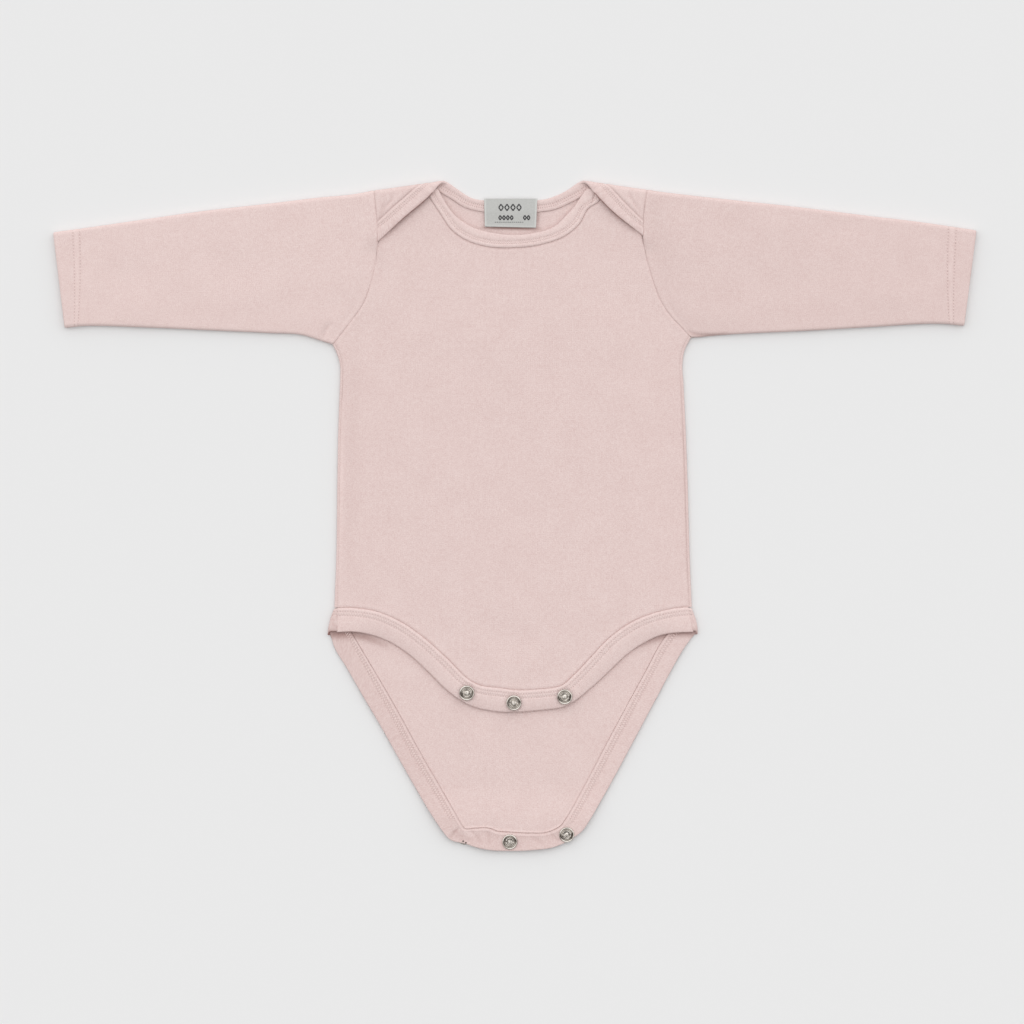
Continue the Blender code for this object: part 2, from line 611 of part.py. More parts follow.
def make_leg_binding_back(material):
    """The binding round the back flap, which wraps both hips up to the front side seams."""
    flat = join(smooth(LEG_BACK_LEFT, FLAP_ROWS), smooth(LEG_BACK_FOOT, NECK_STEPS),
                smooth(LEG_BACK_RIGHT, FLAP_ROWS))[1:-1]
    seam = moved_left(flat[:, :2], -SEAM_GAP / 2)
    layers = []
    for depth in (0.0, BINDING):
        lines = hip_fold(HIP_LEFT, -1, depth)
        for inner_end, outer_end in zip(seam, flat[:, 2:]):
            shares = np.linspace(0.0, 1.0, BINDING_STEPS + 1)
            plan = [inner_end + (outer_end - inner_end) * share for share in shares]
            lines.append([(x, y, foot_height(y) + depth) for x, y in plan])
        layers.append(lines + hip_fold(HIP_RIGHT, 1, depth)[::-1])
    mesh = new_sheet()
    add_net(mesh, *layers, flip=True)
    thicken(mesh)
    return piece("leg_binding_back", mesh, material)


def make_label(material):
    """The label: a folded strip sewn on the neck binding, its loop over the back panel."""
    columns, rows = 6, 5
    on_binding = BINDING + LAY_GAP + LABEL
    on_panel = CLOTH + LAY_GAP + LABEL
    binding_ends = min(row.seam_y for row in NECK_BACK)
    top = np.linspace(*map(np.array, LABEL_TOP), columns + 1)
    bottom = np.linspace(*map(np.array, LABEL_BOTTOM), columns + 1)

    def height(x, y):
        return on_panel + (on_binding - on_panel) * ease((y - binding_ends) / 4.0 + 1)

    return upper_piece("label", at_height(strip(bottom, top, rows), height), LABEL, material)


def turned(mesh, steps, closed_middle):
    """A solid turned about Z through rings of (radius, height), its first ring uppermost."""
    rings = []
    for radius, height in steps:
        angles = [2 * math.pi * index / SNAP_SEGMENTS for index in range(SNAP_SEGMENTS)]
        rings.append([mesh.verts.new((radius * math.cos(a), radius * math.sin(a), height)) for a in angles])
    pairs = list(zip(rings, rings[1:]))
    if closed_middle:
        mesh.faces.new(rings[0])
        mesh.faces.new(rings[-1][::-1])
    else:
        pairs.append((rings[-1], rings[0]))
    for inner, outer in pairs:
        for index in range(SNAP_SEGMENTS):
            after = (index + 1) % SNAP_SEGMENTS
            mesh.faces.new([inner[index], outer[index], outer[after], inner[after]])


def make_snap_face(name, place, height, material):
    """The half of a snap that shows: a rolled rim round a domed middle."""
    mesh = bmesh.new()
    turned(mesh, [*SNAP_FACE, SnapStep(SNAP_RADIUS - 0.15, 0.0)], closed_middle=True)
    bmesh.ops.translate(mesh, vec=(*place, height), verts=mesh.verts)
    return piece(name, mesh, material)


def make_snap_base(name, place, height, material):
    """The ring behind the cloth that the prongs are clenched in."""
    mesh = bmesh.new()
    top = SNAP_BASE_HEIGHT
    turned(mesh, [(SNAP_BASE_HOLE, top), (SNAP_RADIUS, top), (SNAP_RADIUS, 0.0), (SNAP_BASE_HOLE, 0.0)],
           closed_middle=False)
    bmesh.ops.translate(mesh, vec=(*place, height), verts=mesh.verts)
    return piece(name, mesh, material)


def make_snaps(material):
    """Front snaps clamp the front binding; back ones lift the flap's end off the surface."""
    for where, place in SNAP_FRONT.items():
        cloth_top = binding_height(*place)
        make_snap_face(f"snap_front_{where}", place, cloth_top + LAY_GAP, material)
        below = cloth_top - BINDING - LAY_GAP - SNAP_BASE_HEIGHT
        make_snap_base(f"snap_front_{where}_base", place, below, material)
    for where, place in SNAP_BACK.items():
        make_snap_base(f"snap_back_{where}_base", place, 0.0, material)
        if where != "left":
            cloth_top = FOOT_RISE + BINDING
            make_snap_face(f"snap_back_{where}", place, cloth_top + LAY_GAP, material)


def main():
    clear_scene()
    jersey = finish("cotton interlock jersey", (0.745, 0.584, 0.565), 0.9)
    satin = finish("woven satin label", (0.56, 0.53, 0.53), 0.5)
    nickel = finish("nickel-plated brass", (0.66, 0.63, 0.58), 0.25, metallic=1.0)
    make_back_panel(jersey)
    make_front_panel(jersey)
    make_sleeve("sleeve_left", SLEEVE_LEFT, ARMHOLE_LEFT, -1, jersey)
    make_sleeve("sleeve_right", SLEEVE_RIGHT, ARMHOLE_RIGHT, 1, jersey)
    make_neck_binding_back(jersey)
    make_neck_binding_front(jersey)
    make_leg_binding_back(jersey)
    make_leg_binding_front(jersey)
    make_label(satin)
    make_snaps(nickel)


main()
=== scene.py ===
"""A baby's long-sleeved bodysuit with envelope shoulders, laid flat on its back.

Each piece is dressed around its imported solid, in the order in which the garment is put
together. Tables and sizes are in millimetres, with X to the right sleeve as seen from
above, Y to the neck and Z up; meshes are written in metres. Left and right are those of
someone who looks down at the garment.
"""
import math
from collections import namedtuple

import bpy
import numpy as np
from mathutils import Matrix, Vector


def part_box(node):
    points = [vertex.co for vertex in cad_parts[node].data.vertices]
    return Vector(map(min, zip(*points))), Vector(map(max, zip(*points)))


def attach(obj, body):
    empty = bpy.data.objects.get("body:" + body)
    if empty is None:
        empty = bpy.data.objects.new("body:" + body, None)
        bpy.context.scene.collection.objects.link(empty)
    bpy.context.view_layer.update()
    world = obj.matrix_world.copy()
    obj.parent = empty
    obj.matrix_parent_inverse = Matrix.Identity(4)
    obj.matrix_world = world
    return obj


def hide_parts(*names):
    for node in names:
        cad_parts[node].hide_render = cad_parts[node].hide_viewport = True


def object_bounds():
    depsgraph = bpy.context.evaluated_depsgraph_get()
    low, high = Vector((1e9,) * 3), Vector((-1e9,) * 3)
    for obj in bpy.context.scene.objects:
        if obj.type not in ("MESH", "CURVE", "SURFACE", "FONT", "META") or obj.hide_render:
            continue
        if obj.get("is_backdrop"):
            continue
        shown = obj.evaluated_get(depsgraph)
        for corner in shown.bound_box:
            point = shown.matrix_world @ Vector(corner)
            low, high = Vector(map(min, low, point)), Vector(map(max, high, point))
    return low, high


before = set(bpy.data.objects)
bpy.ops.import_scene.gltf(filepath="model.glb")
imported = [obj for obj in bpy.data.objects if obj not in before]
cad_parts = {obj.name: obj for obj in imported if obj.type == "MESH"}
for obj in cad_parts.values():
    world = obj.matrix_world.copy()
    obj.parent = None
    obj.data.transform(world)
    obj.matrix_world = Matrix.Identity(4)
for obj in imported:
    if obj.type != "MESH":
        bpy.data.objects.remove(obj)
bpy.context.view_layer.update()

# --- Cotton interlock jersey ----------------------------------------------------------
# The cloth of every panel, sleeve and binding: fine combed cotton, knitted on two beds so
# that both faces show the same small wales, dyed pale pink and softened by its first wash.
# To the eye it is matt and slightly mottled, with a soft nap. Shade is painted into its
# seams, creases and needle holes, and light onto its ridges.
MM = 0.001      # in metres; every size below is in millimetres
WALE = 1.3      # between two columns of stitches; real ones are about 0.7 and would not show
COURSE = 1.1    # between two rows of stitches, coarser than the real ones in the same way
SLUB = 2.4      # length of the yarn's thick and thin places
GRAIN = 0.7     # fine heather of single fibres, longest along the courses
GRAIN_STRETCH = (0.8, 1.3, 1.0)
MOTTLE = 14.0   # patches where the dye took a little more or less
LOOP_SHARE = 0.06   # how much the loops, the grain, the dye and the slubs weigh in the tone
GRAIN_SHARE = 1.9
DYE_SHARE = 0.36
SLUB_SHARE = 0.6
TONE_START = -0.94
NAP_DEPTH = 0.12    # of the loops and fibres on the cloth's face
JERSEY_LIGHT = "E9D6D2"
JERSEY_DARK = "D4B9B5"
JERSEY_PAINTED_SHADE = "8E665F"    # painted shade in seams, creases and needle holes and under edges that lie over the cloth
JERSEY_PAINTED_LIGHT = "F8E2DD"      # painted light: highlights on ridges, and paler front bindings and left sleeve
WAVE_TURN = 2 * math.pi / 20    # Blender's wave texture has 20 radians to one unit of scale


def linear(hexes):
    """A colour for a shader from its sRGB hex value."""
    parts = [int(hexes[place:place + 2], 16) / 255 for place in (0, 2, 4)]
    return (*(part / 12.92 if part <= 0.04045 else ((part + 0.055) / 1.055) ** 2.4
              for part in parts), 1.0)


def add_node(tree, kind, inputs=None, **settings):
    """A new node with its SETTINGS; INPUTS gives sockets a value or another node's output."""
    node = tree.nodes.new(kind)
    for name, value in settings.items():
        setattr(node, name, value)
    for name, value in (inputs or {}).items():
        if isinstance(value, bpy.types.NodeSocket):
            tree.links.new(value, node.inputs[name])
        else:
            node.inputs[name].default_value = value
    return node


def new_material(name):
    """An empty node material: itself, its tree and its surface socket."""
    material = bpy.data.materials.new(name)
    material.use_nodes = True
    material.node_tree.nodes.clear()
    output = add_node(material.node_tree, "ShaderNodeOutputMaterial")
    return material, material.node_tree, output.inputs["Surface"]


jersey, tree, surface = new_material("cotton interlock jersey, washed")
# The cloth keeps its own place in millimetres, across and along the wales, in one attribute,
# with how much shade is painted on it or, with a minus, how much light
knit = add_node(tree, "ShaderNodeAttribute", attribute_name="knit").outputs["Vector"]
shading_share = add_node(tree, "ShaderNodeSeparateXYZ", {"Vector": knit}).outputs["Z"]
drawn = add_node(tree, "ShaderNodeVectorMath", {0: knit, 1: GRAIN_STRETCH}, operation="MULTIPLY")
dye = add_node(tree, "ShaderNodeTexNoise", {"Vector": knit, "Scale": 1 / MOTTLE, "Detail": 4.0})
slub = add_node(tree, "ShaderNodeTexNoise", {"Vector": knit, "Scale": 1 / SLUB, "Detail": 2.0})
grain = add_node(tree, "ShaderNodeTexNoise", {
    "Vector": drawn.outputs[0], "Scale": 1 / GRAIN, "Detail": 2.0, "Roughness": 0.6})
wales, courses = (
    add_node(tree, "ShaderNodeTexWave", {
        "Vector": knit, "Scale": WAVE_TURN / spacing, "Distortion": wander, "Detail": 2.0,
        "Detail Scale": wiggle}, bands_direction=way)
    for spacing, wander, wiggle, way in ((WALE, 5.0, 1.4, "X"), (COURSE, 6.0, 1.2, "Y")))
loops = add_node(tree, "ShaderNodeMath", {0: wales.outputs["Fac"], 1: courses.outputs["Fac"]},
                 operation="MULTIPLY")
relief = add_node(tree, "ShaderNodeMath", {0: grain.outputs["Fac"], 1: 1.5, 2: loops.outputs[0]},
                  operation="MULTIPLY_ADD")
tone = add_node(tree, "ShaderNodeMath", {0: loops.outputs[0], 1: LOOP_SHARE, 2: TONE_START},
                operation="MULTIPLY_ADD")
for pattern, share in ((grain, GRAIN_SHARE), (dye, DYE_SHARE), (slub, SLUB_SHARE)):
    tone = add_node(tree, "ShaderNodeMath", {
        0: pattern.outputs["Fac"], 1: share, 2: tone.outputs[0]}, operation="MULTIPLY_ADD")
dyed = add_node(tree, "ShaderNodeValToRGB", {"Fac": tone.outputs[0]})
for end, shade in zip(dyed.color_ramp.elements, (JERSEY_DARK, JERSEY_LIGHT)):
    end.color = linear(shade)
# Shade is painted towards a dark brown where the attribute's depth is above 0, and light towards a
# pale pink where it is below
# A colour mix has its share at socket 0 and its two colours at 6 and 7
painted_shade_mix = add_node(tree, "ShaderNodeMix", {
    0: shading_share, 6: dyed.outputs["Color"], 7: linear(JERSEY_PAINTED_SHADE)}, data_type="RGBA")
light_share = add_node(tree, "ShaderNodeMath", {0: shading_share, 1: -1.0}, operation="MULTIPLY")
painted_light_mix = add_node(tree, "ShaderNodeMix", {
    0: light_share.outputs[0], 6: painted_shade_mix.outputs[2], 7: linear(JERSEY_PAINTED_LIGHT)}, data_type="RGBA")
bump = add_node(tree, "ShaderNodeBump", {
    "Height": relief.outputs[0], "Strength": 0.4, "Distance": NAP_DEPTH * MM})
cotton = add_node(tree, "ShaderNodeBsdfPrincipled", {
    "Base Color": painted_light_mix.outputs[2], "Roughness": 0.92, "Specular IOR Level": 0.2,
    "Sheen Weight": 0.10, "Sheen Roughness": 0.5, "Normal": bump.outputs["Normal"]})
tree.links.new(cotton.outputs["BSDF"], surface)

# --- Back panel -----------------------------------------------------------------------
# One piece of jersey from the crotch flap up to the two shoulder laps, which fold forward
# over the front. Its sides wrap the body's edge and meet the front in the side seams, and
# it lies on the floor with its outer face down.
WALL = 0.6      # a layer of jersey
SEAM_DEPTH = 0.3    # how far a seam pulls the cloth's edge in, and over what width
SEAM_PULL = 0.45
SEAM_RIDGE = 0.15   # the allowance pressed to one side, felt through the cloth
SEAM_RIDGE_PLACE = 1.7
SEAM_RIDGE_WIDTH = 0.9
SEAM_SHADE = 0.12    # how much shade is painted along its line, and how wide
SEAM_LINE = 0.4
LAP_SEAM = 0.14     # how much more shade is painted where thick laps are sewn in
LAP_LEVEL = 3.0     # the back panel is a lap where it lies higher than this
CELL = 1.7          # usual side of the mesh's cells
FINE_CELL = 0.45    # next to a seam
FOLD_CELL = 0.8     # round the shoulder folds
CELL_GROWTH = 1.35  # from one cell to the next away from a seam
ARC_STEPS = 10      # round a half turn
CURVE_STEPS = 24    # between two knots of a curve
SIDE_HEIGHT = 2.7   # front panel where the side seams fold
LAP_ARM_HEIGHT = 4.7    # shoulder lap at the armhole
LAP_NECK_HEIGHT = 5.6   # shoulder lap at the neck, where three bindings lie on each other
LEG_LENGTH = 150.0  # about how long the stretches of a panel's edge are: along the flap,
SIDE_LENGTH = 137.0     # up the side,
UNDERARM_LENGTH = 22.0  # round the underarm,
ARMHOLE_LENGTH = 95.0   # up the armhole
LAP_LENGTH = 24.0   # and along the end of a lap
BODY_WIDTH = 209.0
FOOT_RISE = 1.4     # how far the snaps lift the end of the back flap
FOOT_RISE_START = -160.0    # where that lift starts, and over what length it grows
FOOT_RISE_LENGTH = 24.0

Point = namedtuple("Point", "x y")
Section = namedtuple("Section", "seam_x seam_y edge_x edge_y")
Shoulder = namedtuple("Shoulder", "arm neck")
Crease = namedtuple("Crease", "rise width line dull", defaults=(0.0,))


def records(kind, rows):
    """ROWS of numbers, each as one KIND of record."""
    return [kind(*row) for row in rows]


# Side folds, from the leg binding up to the underarm, and round the underarm
SIDE_LEFT = records(Point, [
    (-108.2, -54.6), (-107.1, -25.9), (-106.5, 17.2), (-105.9, 50.9), (-104.7, 82.0)])
SIDE_RIGHT = records(Point, [
    (105.9, -54.4), (104.7, -25.9), (103.5, 17.2), (102.3, 50.9), (100.9, 80.0)])
UNDERARM_LEFT = records(Point, [
    (-104.7, 82.0), (-104.9, 91.0), (-106.6, 97.4), (-109.3, 103.0)])
UNDERARM_RIGHT = records(Point, [
    (100.9, 80.0), (100.3, 91.0), (101.6, 99.4), (105.5, 107.2)])

# Armhole seams, from the underarm up to the shoulder fold
ARMHOLE_LEFT = records(Point, [
    (-109.3, 103.0), (-104.1, 109.6), (-98.7, 116.5), (-90.9, 127.6), (-86.1, 141.4),
    (-83.1, 155.8), (-82.1, 165.4), (-82.6, 176.2), (-83.7, 186.4), (-84.3, 195.4)])
ARMHOLE_RIGHT = records(Point, [
    (105.5, 107.2), (99.8, 113.2), (92.7, 120.8), (87.3, 129.4), (82.2, 143.2),
    (78.7, 155.2), (76.7, 166.7), (76.7, 176.2), (77.7, 186.4), (78.9, 195.8)])

# Shoulder folds: the outermost line of each, from the armhole to the neck
SHOULDER_LEFT = Shoulder(Point(-84.3, 195.4), Point(-46.5, 200.6))
SHOULDER_RIGHT = Shoulder(Point(78.9, 195.8), Point(43.3, 200.9))

# Seam and free edge of the back neck binding: along the left lap as it lies folded, across
# the back neck, and along the right lap
NECK_LAP_LEFT = records(Section, [
    (-82.6, 176.5, -82.15, 164.4), (-73.0, 185.5, -66.3, 178.7), (-58.7, 198.0, -50.7, 192.2)])
NECK_BACK = records(Section, [
    (-38.7, 190.7, -34.6, 196.2), (-29.1, 184.9, -26.0, 190.9), (-18.6, 182.4, -17.6, 189.3),
    (-2.7, 181.6, -2.7, 188.8), (13.5, 182.4, 12.6, 189.4), (24.0, 184.1, 21.0, 190.9),
    (33.7, 188.3, 29.3, 194.4)])
NECK_LAP_RIGHT = records(Section, [
    (55.8, 198.6, 48.1, 192.9), (65.5, 188.5, 59.1, 181.7), (76.7, 177.3, 76.75, 168.0)])

# Seam and free edge of the back leg binding: left side, foot of the flap, right side
LEG_BACK_LEFT = records(Section, [
    (-106.2, -55.2, -110.7, -71.2), (-102.6, -61.8, -108.1, -79.2), (-97.9, -70.2, -101.6, -89.9),
    (-90.9, -82.0, -96.2, -99.2), (-83.0, -95.2, -90.7, -108.8), (-70.1, -117.5, -80.6, -125.9),
    (-57.9, -139.9, -69.2, -146.2), (-47.6, -157.9, -59.6, -163.1), (-38.3, -173.9, -50.7, -178.1),
    (-32.5, -184.0, -44.6, -187.4)])
LEG_BACK_FOOT = records(Section, [
    (-32.5, -184.0, -44.6, -187.4), (-29.8, -187.4, -39.0, -193.8), (-24.3, -187.1, -30.0, -196.4),
    (-14.9, -187.2, -20.3, -199.3), (-10.8, -188.8, -14.0, -200.3), (-3.5, -189.4, -5.6, -200.7),
    (9.3, -190.0, 9.3, -200.3), (19.5, -189.4, 23.4, -198.4), (27.3, -185.6, 33.4, -193.8),
    (30.9, -180.8, 39.8, -189.2), (35.9, -172.5, 46.0, -180.4)])
LEG_BACK_RIGHT = records(Section, [
    (35.9, -172.5, 46.0, -180.4), (46.4, -152.8, 58.6, -158.2), (57.1, -132.4, 70.2, -136.6),
    (64.4, -118.8, 77.5, -122.8), (71.7, -105.3, 85.2, -108.4), (79.8, -90.5, 93.7, -92.5),
    (87.6, -76.0, 100.8, -80.1), (95.9, -65.1, 105.5, -73.6), (104.1, -55.0, 107.9, -70.7)])

# Soft folds of the cloth on its upper and its under face: how far each rises or sinks, its
# half width, its run and how much shade is painted on it where it is deep or shaded by what
# lies over it, or with a minus light painted on a ridge
BACK_UP = records(Crease, [
    (-0.55, 0.9, ((-73.1, 194.5), (-75.0, 188.2), (-76.9, 186.4), (-79.6, 180.4), (-81.6, 176.8)),
     0.14),
    (-0.45, 0.9, ((-77.4, 190.6), (-79.6, 184.4), (-81.3, 176.8)), 0.12),
    (0.40, 1.3, ((-75.2, 191.5), (-77.6, 184.6), (-80.0, 178.8))),
    (-0.40, 1.0, ((67.4, 196.6), (70.1, 189.8), (73.4, 184.8), (76.4, 179.8)), 0.12),
    (0.30, 1.8, ((65.0, 195.6), (68.4, 189.4), (73.0, 182.8))),
    (0.20, 3.0, ((-62, 199), (-68, 191), (-72, 188)))])
BACK_DOWN = records(Crease, [
    (-0.50, 6.0, ((-92, 96), (-95, 50), (-97, -10), (-95, -46))),
    (-0.45, 5.0, ((92, 100), (93, 40), (92, -30))),
    (-0.45, 9.0, ((-60, 150), (-30, 120), (-22, 70))),
    (-0.35, 8.0, ((52, 145), (30, 110), (34, 60))),
    (-0.40, 11.0, ((-50, 20), (0, 8), (46, 18))),
    (-0.30, 7.0, ((-20, -60), (10, -80), (14, -120))),
    (-0.35, 8.0, ((-50, -110), (-20, -135), (-8, -165))),
    (-0.30, 7.0, ((40, -118), (22, -150), (18, -172))),
    (-0.30, 2.0, ((-14, -172), (-12, -180), (-11, -187)))])
# Where its inner face is shaded: under the label's edge, and by the front's edge at the hips
BACK_INSIDE = records(Crease, [
    (0.0, 1.0, ((-22.0, 173.2), (-3.0, 172.9), (16.5, 172.3)), 0.85),
    (0.0, 1.0, ((13.6, 186.0), (13.5, 180.0), (13.1, 171.0)), 0.4),
    (0.0, 2.6, ((-116.0, -70.6), (-104.0, -70.4), (-92.0, -71.8), (-74.0, -78.6)), 0.55),
    (0.0, 2.2, ((70, -80), (87.0, -72.6), (98.0, -70.2), (114, -70)), 0.5)])


def curve(rows):
    """A smooth curve through ROWS, as a close run of points."""
    knots = np.array(rows, dtype=float)
    chords = np.linalg.norm(np.diff(knots, axis=0), axis=1)
    before = np.vstack([2 * knots[0] - knots[1], knots[:-1]])
    after = np.vstack([knots[1:], 2 * knots[-1] - knots[-2]])
    ahead = np.concatenate([chords, chords[-1:]])[:, None]
    behind = np.concatenate([chords[:1], chords])[:, None]
    tangents = (after - knots) / ahead * behind + (knots - before) / behind * ahead
    tangents /= ahead + behind
    share = np.linspace(0.0, 1.0, CURVE_STEPS, endpoint=False)[:, None]
    square, cube = share ** 2, share ** 3
    fine = [(2 * cube - 3 * square + 1) * knots[index]
            + (cube - 2 * square + share) * chord * tangents[index]
            + (3 * square - 2 * cube) * knots[index + 1]
            + (cube - square) * chord * tangents[index + 1]
            for index, chord in enumerate(chords)]
    return np.vstack(fine + [knots[-1:]])


def lengths(line):
    """How far along LINE each of its points lies."""
    return np.concatenate([[0.0], np.cumsum(np.linalg.norm(np.diff(line, axis=0), axis=1))])


def placed(line, shares):
    """The points at SHARES of the way along LINE."""
    run = lengths(line)
    wanted = np.asarray(shares) * run[-1]
    return np.stack([np.interp(wanted, run, column) for column in line.T], axis=1)


def stops(length, step, first=None, last=None):
    """Shares from 0 to 1 about STEP apart, drawn together to FIRST or LAST at that end."""
    ramps = []
    for small in (first, last):
        ramp = []
        while small and small < step:
            ramp.append(small)
            small *= CELL_GROWTH
        ramps.append(ramp)
    middle = max(length - sum(map(sum, ramps)), step)
    count = max(round(middle / step), 1)
    run = np.cumsum([0.0, *ramps[0], *[middle / count] * count, *ramps[1][::-1]])
    return run / run[-1]


def moved_left(line, distance):
    """LINE of plan points, each moved by DISTANCE to the left of the way it runs."""
    run = np.gradient(line, axis=0)
    run /= np.linalg.norm(run, axis=1)[:, None]
    return line + np.stack([-run[:, 1], run[:, 0]], axis=1) * np.reshape(distance, (-1, 1))


def join(*lines):
    """Lines end to end, each point that two of them share taken once."""
    return np.vstack([lines[0]] + [line[1:] for line in lines[1:]])


def net(bottom, top, left, right, across, up):
    """Rows of points between four edges, whose own points lie at shares ACROSS and UP."""
    across, up = across[None, :, None], up[:, None, None]
    corners = ((1 - across) * (1 - up) * bottom[0] + across * (1 - up) * bottom[-1]
               + (1 - across) * up * top[0] + across * up * top[-1])
    return ((1 - up) * bottom[None] + up * top[None]
            + (1 - across) * left[:, None] + across * right[:, None] - corners)


def ease(value):
    """0 below 0, 1 above 1 and a soft step between."""
    share = np.clip(value, 0.0, 1.0)
    return share * share * (3 - 2 * share)


def nearest(points, line):
    """How far plan POINTS lie from LINE, and at what share of its length each is nearest."""
    line = np.asarray(line, dtype=float)
    run = lengths(line)
    away, share = np.full(len(points), np.inf), np.zeros(len(points))
    for start, end, base in zip(line, line[1:], run):
        way = end - start
        part = np.clip((points - start) @ way / (way @ way), 0.0, 1.0)
        gap = np.linalg.norm(points - start - part[:, None] * way, axis=1)
        closer = gap < away
        away[closer] = gap[closer]
        share[closer] = (base + part[closer] * np.linalg.norm(way)) / run[-1]
    return away, share


def creased(points, creases, what="rise"):
    """How far CREASES raise the cloth at plan POINTS or, asked for WHAT, how much shade they
    paint on it, with a minus light; each dies out towards its two ends."""
    total = np.zeros(len(points))
    for crease in creases:
        line = curve(crease.line)[::4]
        low, high = line.min(axis=0) - 3 * crease.width, line.max(axis=0) + 3 * crease.width
        near = np.all((points > low) & (points < high), axis=1)
        if near.any():
            away, share = nearest(points[near], line)
            total[near] += (getattr(crease, what) * np.exp(-(away / crease.width) ** 2)
                            * np.sin(np.pi * share) ** 0.7)
    return total


def uneven(points, size, seed):
    """A soft, uneven rise and fall between about -1 and 1, its hills about SIZE across."""
    draw = np.random.RandomState(seed)
    total = np.zeros(len(points))
    for _ in range(9):
        turn, phase, stretch = draw.uniform(0, 2 * math.pi, 2).tolist() + [draw.uniform(0.7, 1.5)]
        along = points @ np.array([math.cos(turn), math.sin(turn)])
        total += np.cos(math.pi * along / (size * stretch) + phase)
    return total / 4.5


def seam_rise(away):
    """Rise of the cloth at a distance AWAY from a seam: pulled in at the seam itself, then a
    low ridge over the allowance."""
    return (SEAM_RIDGE * np.exp(-((away - SEAM_RIDGE_PLACE) / SEAM_RIDGE_WIDTH) ** 2)
            - SEAM_DEPTH * np.exp(-(away / SEAM_PULL) ** 2))


def normals(points, quads):
    """A unit normal for each point of a mesh of QUADS."""
    corners = points[quads]
    faces = np.cross(corners[:, 2] - corners[:, 0], corners[:, 3] - corners[:, 1])
    total = np.zeros_like(points)
    for corner in range(4):
        np.add.at(total, quads[:, corner], faces)
    return total / np.maximum(np.linalg.norm(total, axis=1), 1e-12)[:, None]


def weave(index, ring=False, flip=False):
    """Quads between the rows of an array of vertex numbers; RING closes each row on itself."""
    if ring:
        index = np.concatenate([index, index[:, :1]], axis=1)
    quads = np.stack([index[:-1, :-1], index[:-1, 1:], index[1:, 1:], index[1:, :-1]], axis=-1)
    quads = quads.reshape(-1, 4)
    return quads[:, ::-1] if flip else quads


def new_object(name, points, faces, material, **attributes):
    """A smooth object in metres from points in millimetres, with vectors kept at its points."""
    data = bpy.data.meshes.new(name)
    data.from_pydata((points * MM).tolist(), [], faces)
    for attribute, values in attributes.items():
        layer = data.attributes.new(attribute, "FLOAT_VECTOR", "POINT")
        layer.data.foreach_set("vector", np.ascontiguousarray(values, dtype=np.float32).ravel())
    data.shade_smooth()
    data.materials.append(material)
    item = bpy.data.objects.new(name, data)
    bpy.context.collection.objects.link(item)
    return item


def cloth(name, points, quads, flat, sewn, rise_up, rise_down, rise=0.0, painted_shading=0.0, painted_shade_up=0.0,
          seam=SEAM_SHADE, inside=0.0, wall=WALL, material=jersey):
    """A closed shell of cloth, and its outer face's final points and normals. SEWN is each
    point's distance from a seam, RISE_UP and RISE_DOWN lift what faces up and down, and RISE
    what faces either way. PAINTED_SHADING paints shade on it or, with a minus, light, as does
    PAINTED_SHADE_UP where it faces up and INSIDE on its inner face; SEAM is how much shade is
    painted along its seams."""
    facing = normals(points, quads)
    up = facing[:, 2]
    painted_shading = painted_shading + painted_shade_up * (up > 0.1)
    rise = rise + seam_rise(sewn) + rise_up * np.maximum(up, 0) + rise_down * np.maximum(-up, 0)
    points = points + facing * rise[:, None]
    points[:, 2] = np.maximum(points[:, 2], 0.0)
    facing = normals(points, quads)
    inner = points - facing * wall
    count = len(points)
    starts, ends = quads.ravel(), np.roll(quads, -1, axis=1).ravel()
    codes, back_codes = starts * count + ends, ends * count + starts
    free = ~np.isin(codes, back_codes)
    rim = np.stack([ends[free], starts[free], starts[free] + count, ends[free] + count], axis=1)
    faces = np.concatenate([quads, quads[:, ::-1] + count, rim])
    # The shade painted along the seams and all the other painted shade and light, kept with the
    # cloth's own place
    depth = seam * np.exp(-(sewn / SEAM_LINE) ** 2) + painted_shading
    places = [np.concatenate([flat, level[:, None]], axis=1) for level in (depth, depth + inside)]
    item = new_object(name, np.concatenate([points, inner]), faces.tolist(), material,
                      knit=np.concatenate(places))
    # The cut edges are crisp, so that they do not shade the cloth beside them
    keys = np.zeros((len(item.data.edges), 2), dtype=np.int32)
    item.data.edges.foreach_get("vertices", keys.ravel())
    rim_codes = {(min(pair), max(pair)) for pair in zip(starts[free].tolist(), ends[free].tolist())}
    sharp = item.data.attributes.new("sharp_edge", "BOOLEAN", "EDGE")
    sharp.data.foreach_set("value", [(min(key), max(key)) in rim_codes for key in keys.tolist()])
    return item, points, facing


def dress(item, slot, *nodes):
    """ITEM rides on the garment's one body and hides the NODES that it stands for; SLOT is not used.
    """
    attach(item, "root")
    if nodes:
        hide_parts(*nodes)


def foot_height(y):
    """Underside of the back flap, lifted by the snaps in its end."""
    return FOOT_RISE * ease((FOOT_RISE_START - y) / FOOT_RISE_LENGTH)


def shoulder_frame(shoulder, points):
    """Feet of plan POINTS on a shoulder fold's line, how far outside it they lie, the way out
    and the fold's radius there."""
    arm, neck = np.array(shoulder.arm), np.array(shoulder.neck)
    length = np.linalg.norm(neck - arm)
    along = (neck - arm) / length
    outward = np.array([-along[1], along[0]])
    outward *= np.sign(outward[1])
    place = (points - arm) @ along
    radius = (LAP_ARM_HEIGHT + (LAP_NECK_HEIGHT - LAP_ARM_HEIGHT) * place / length) / 2
    return arm + place[:, None] * along, outward, (points - arm) @ outward, radius


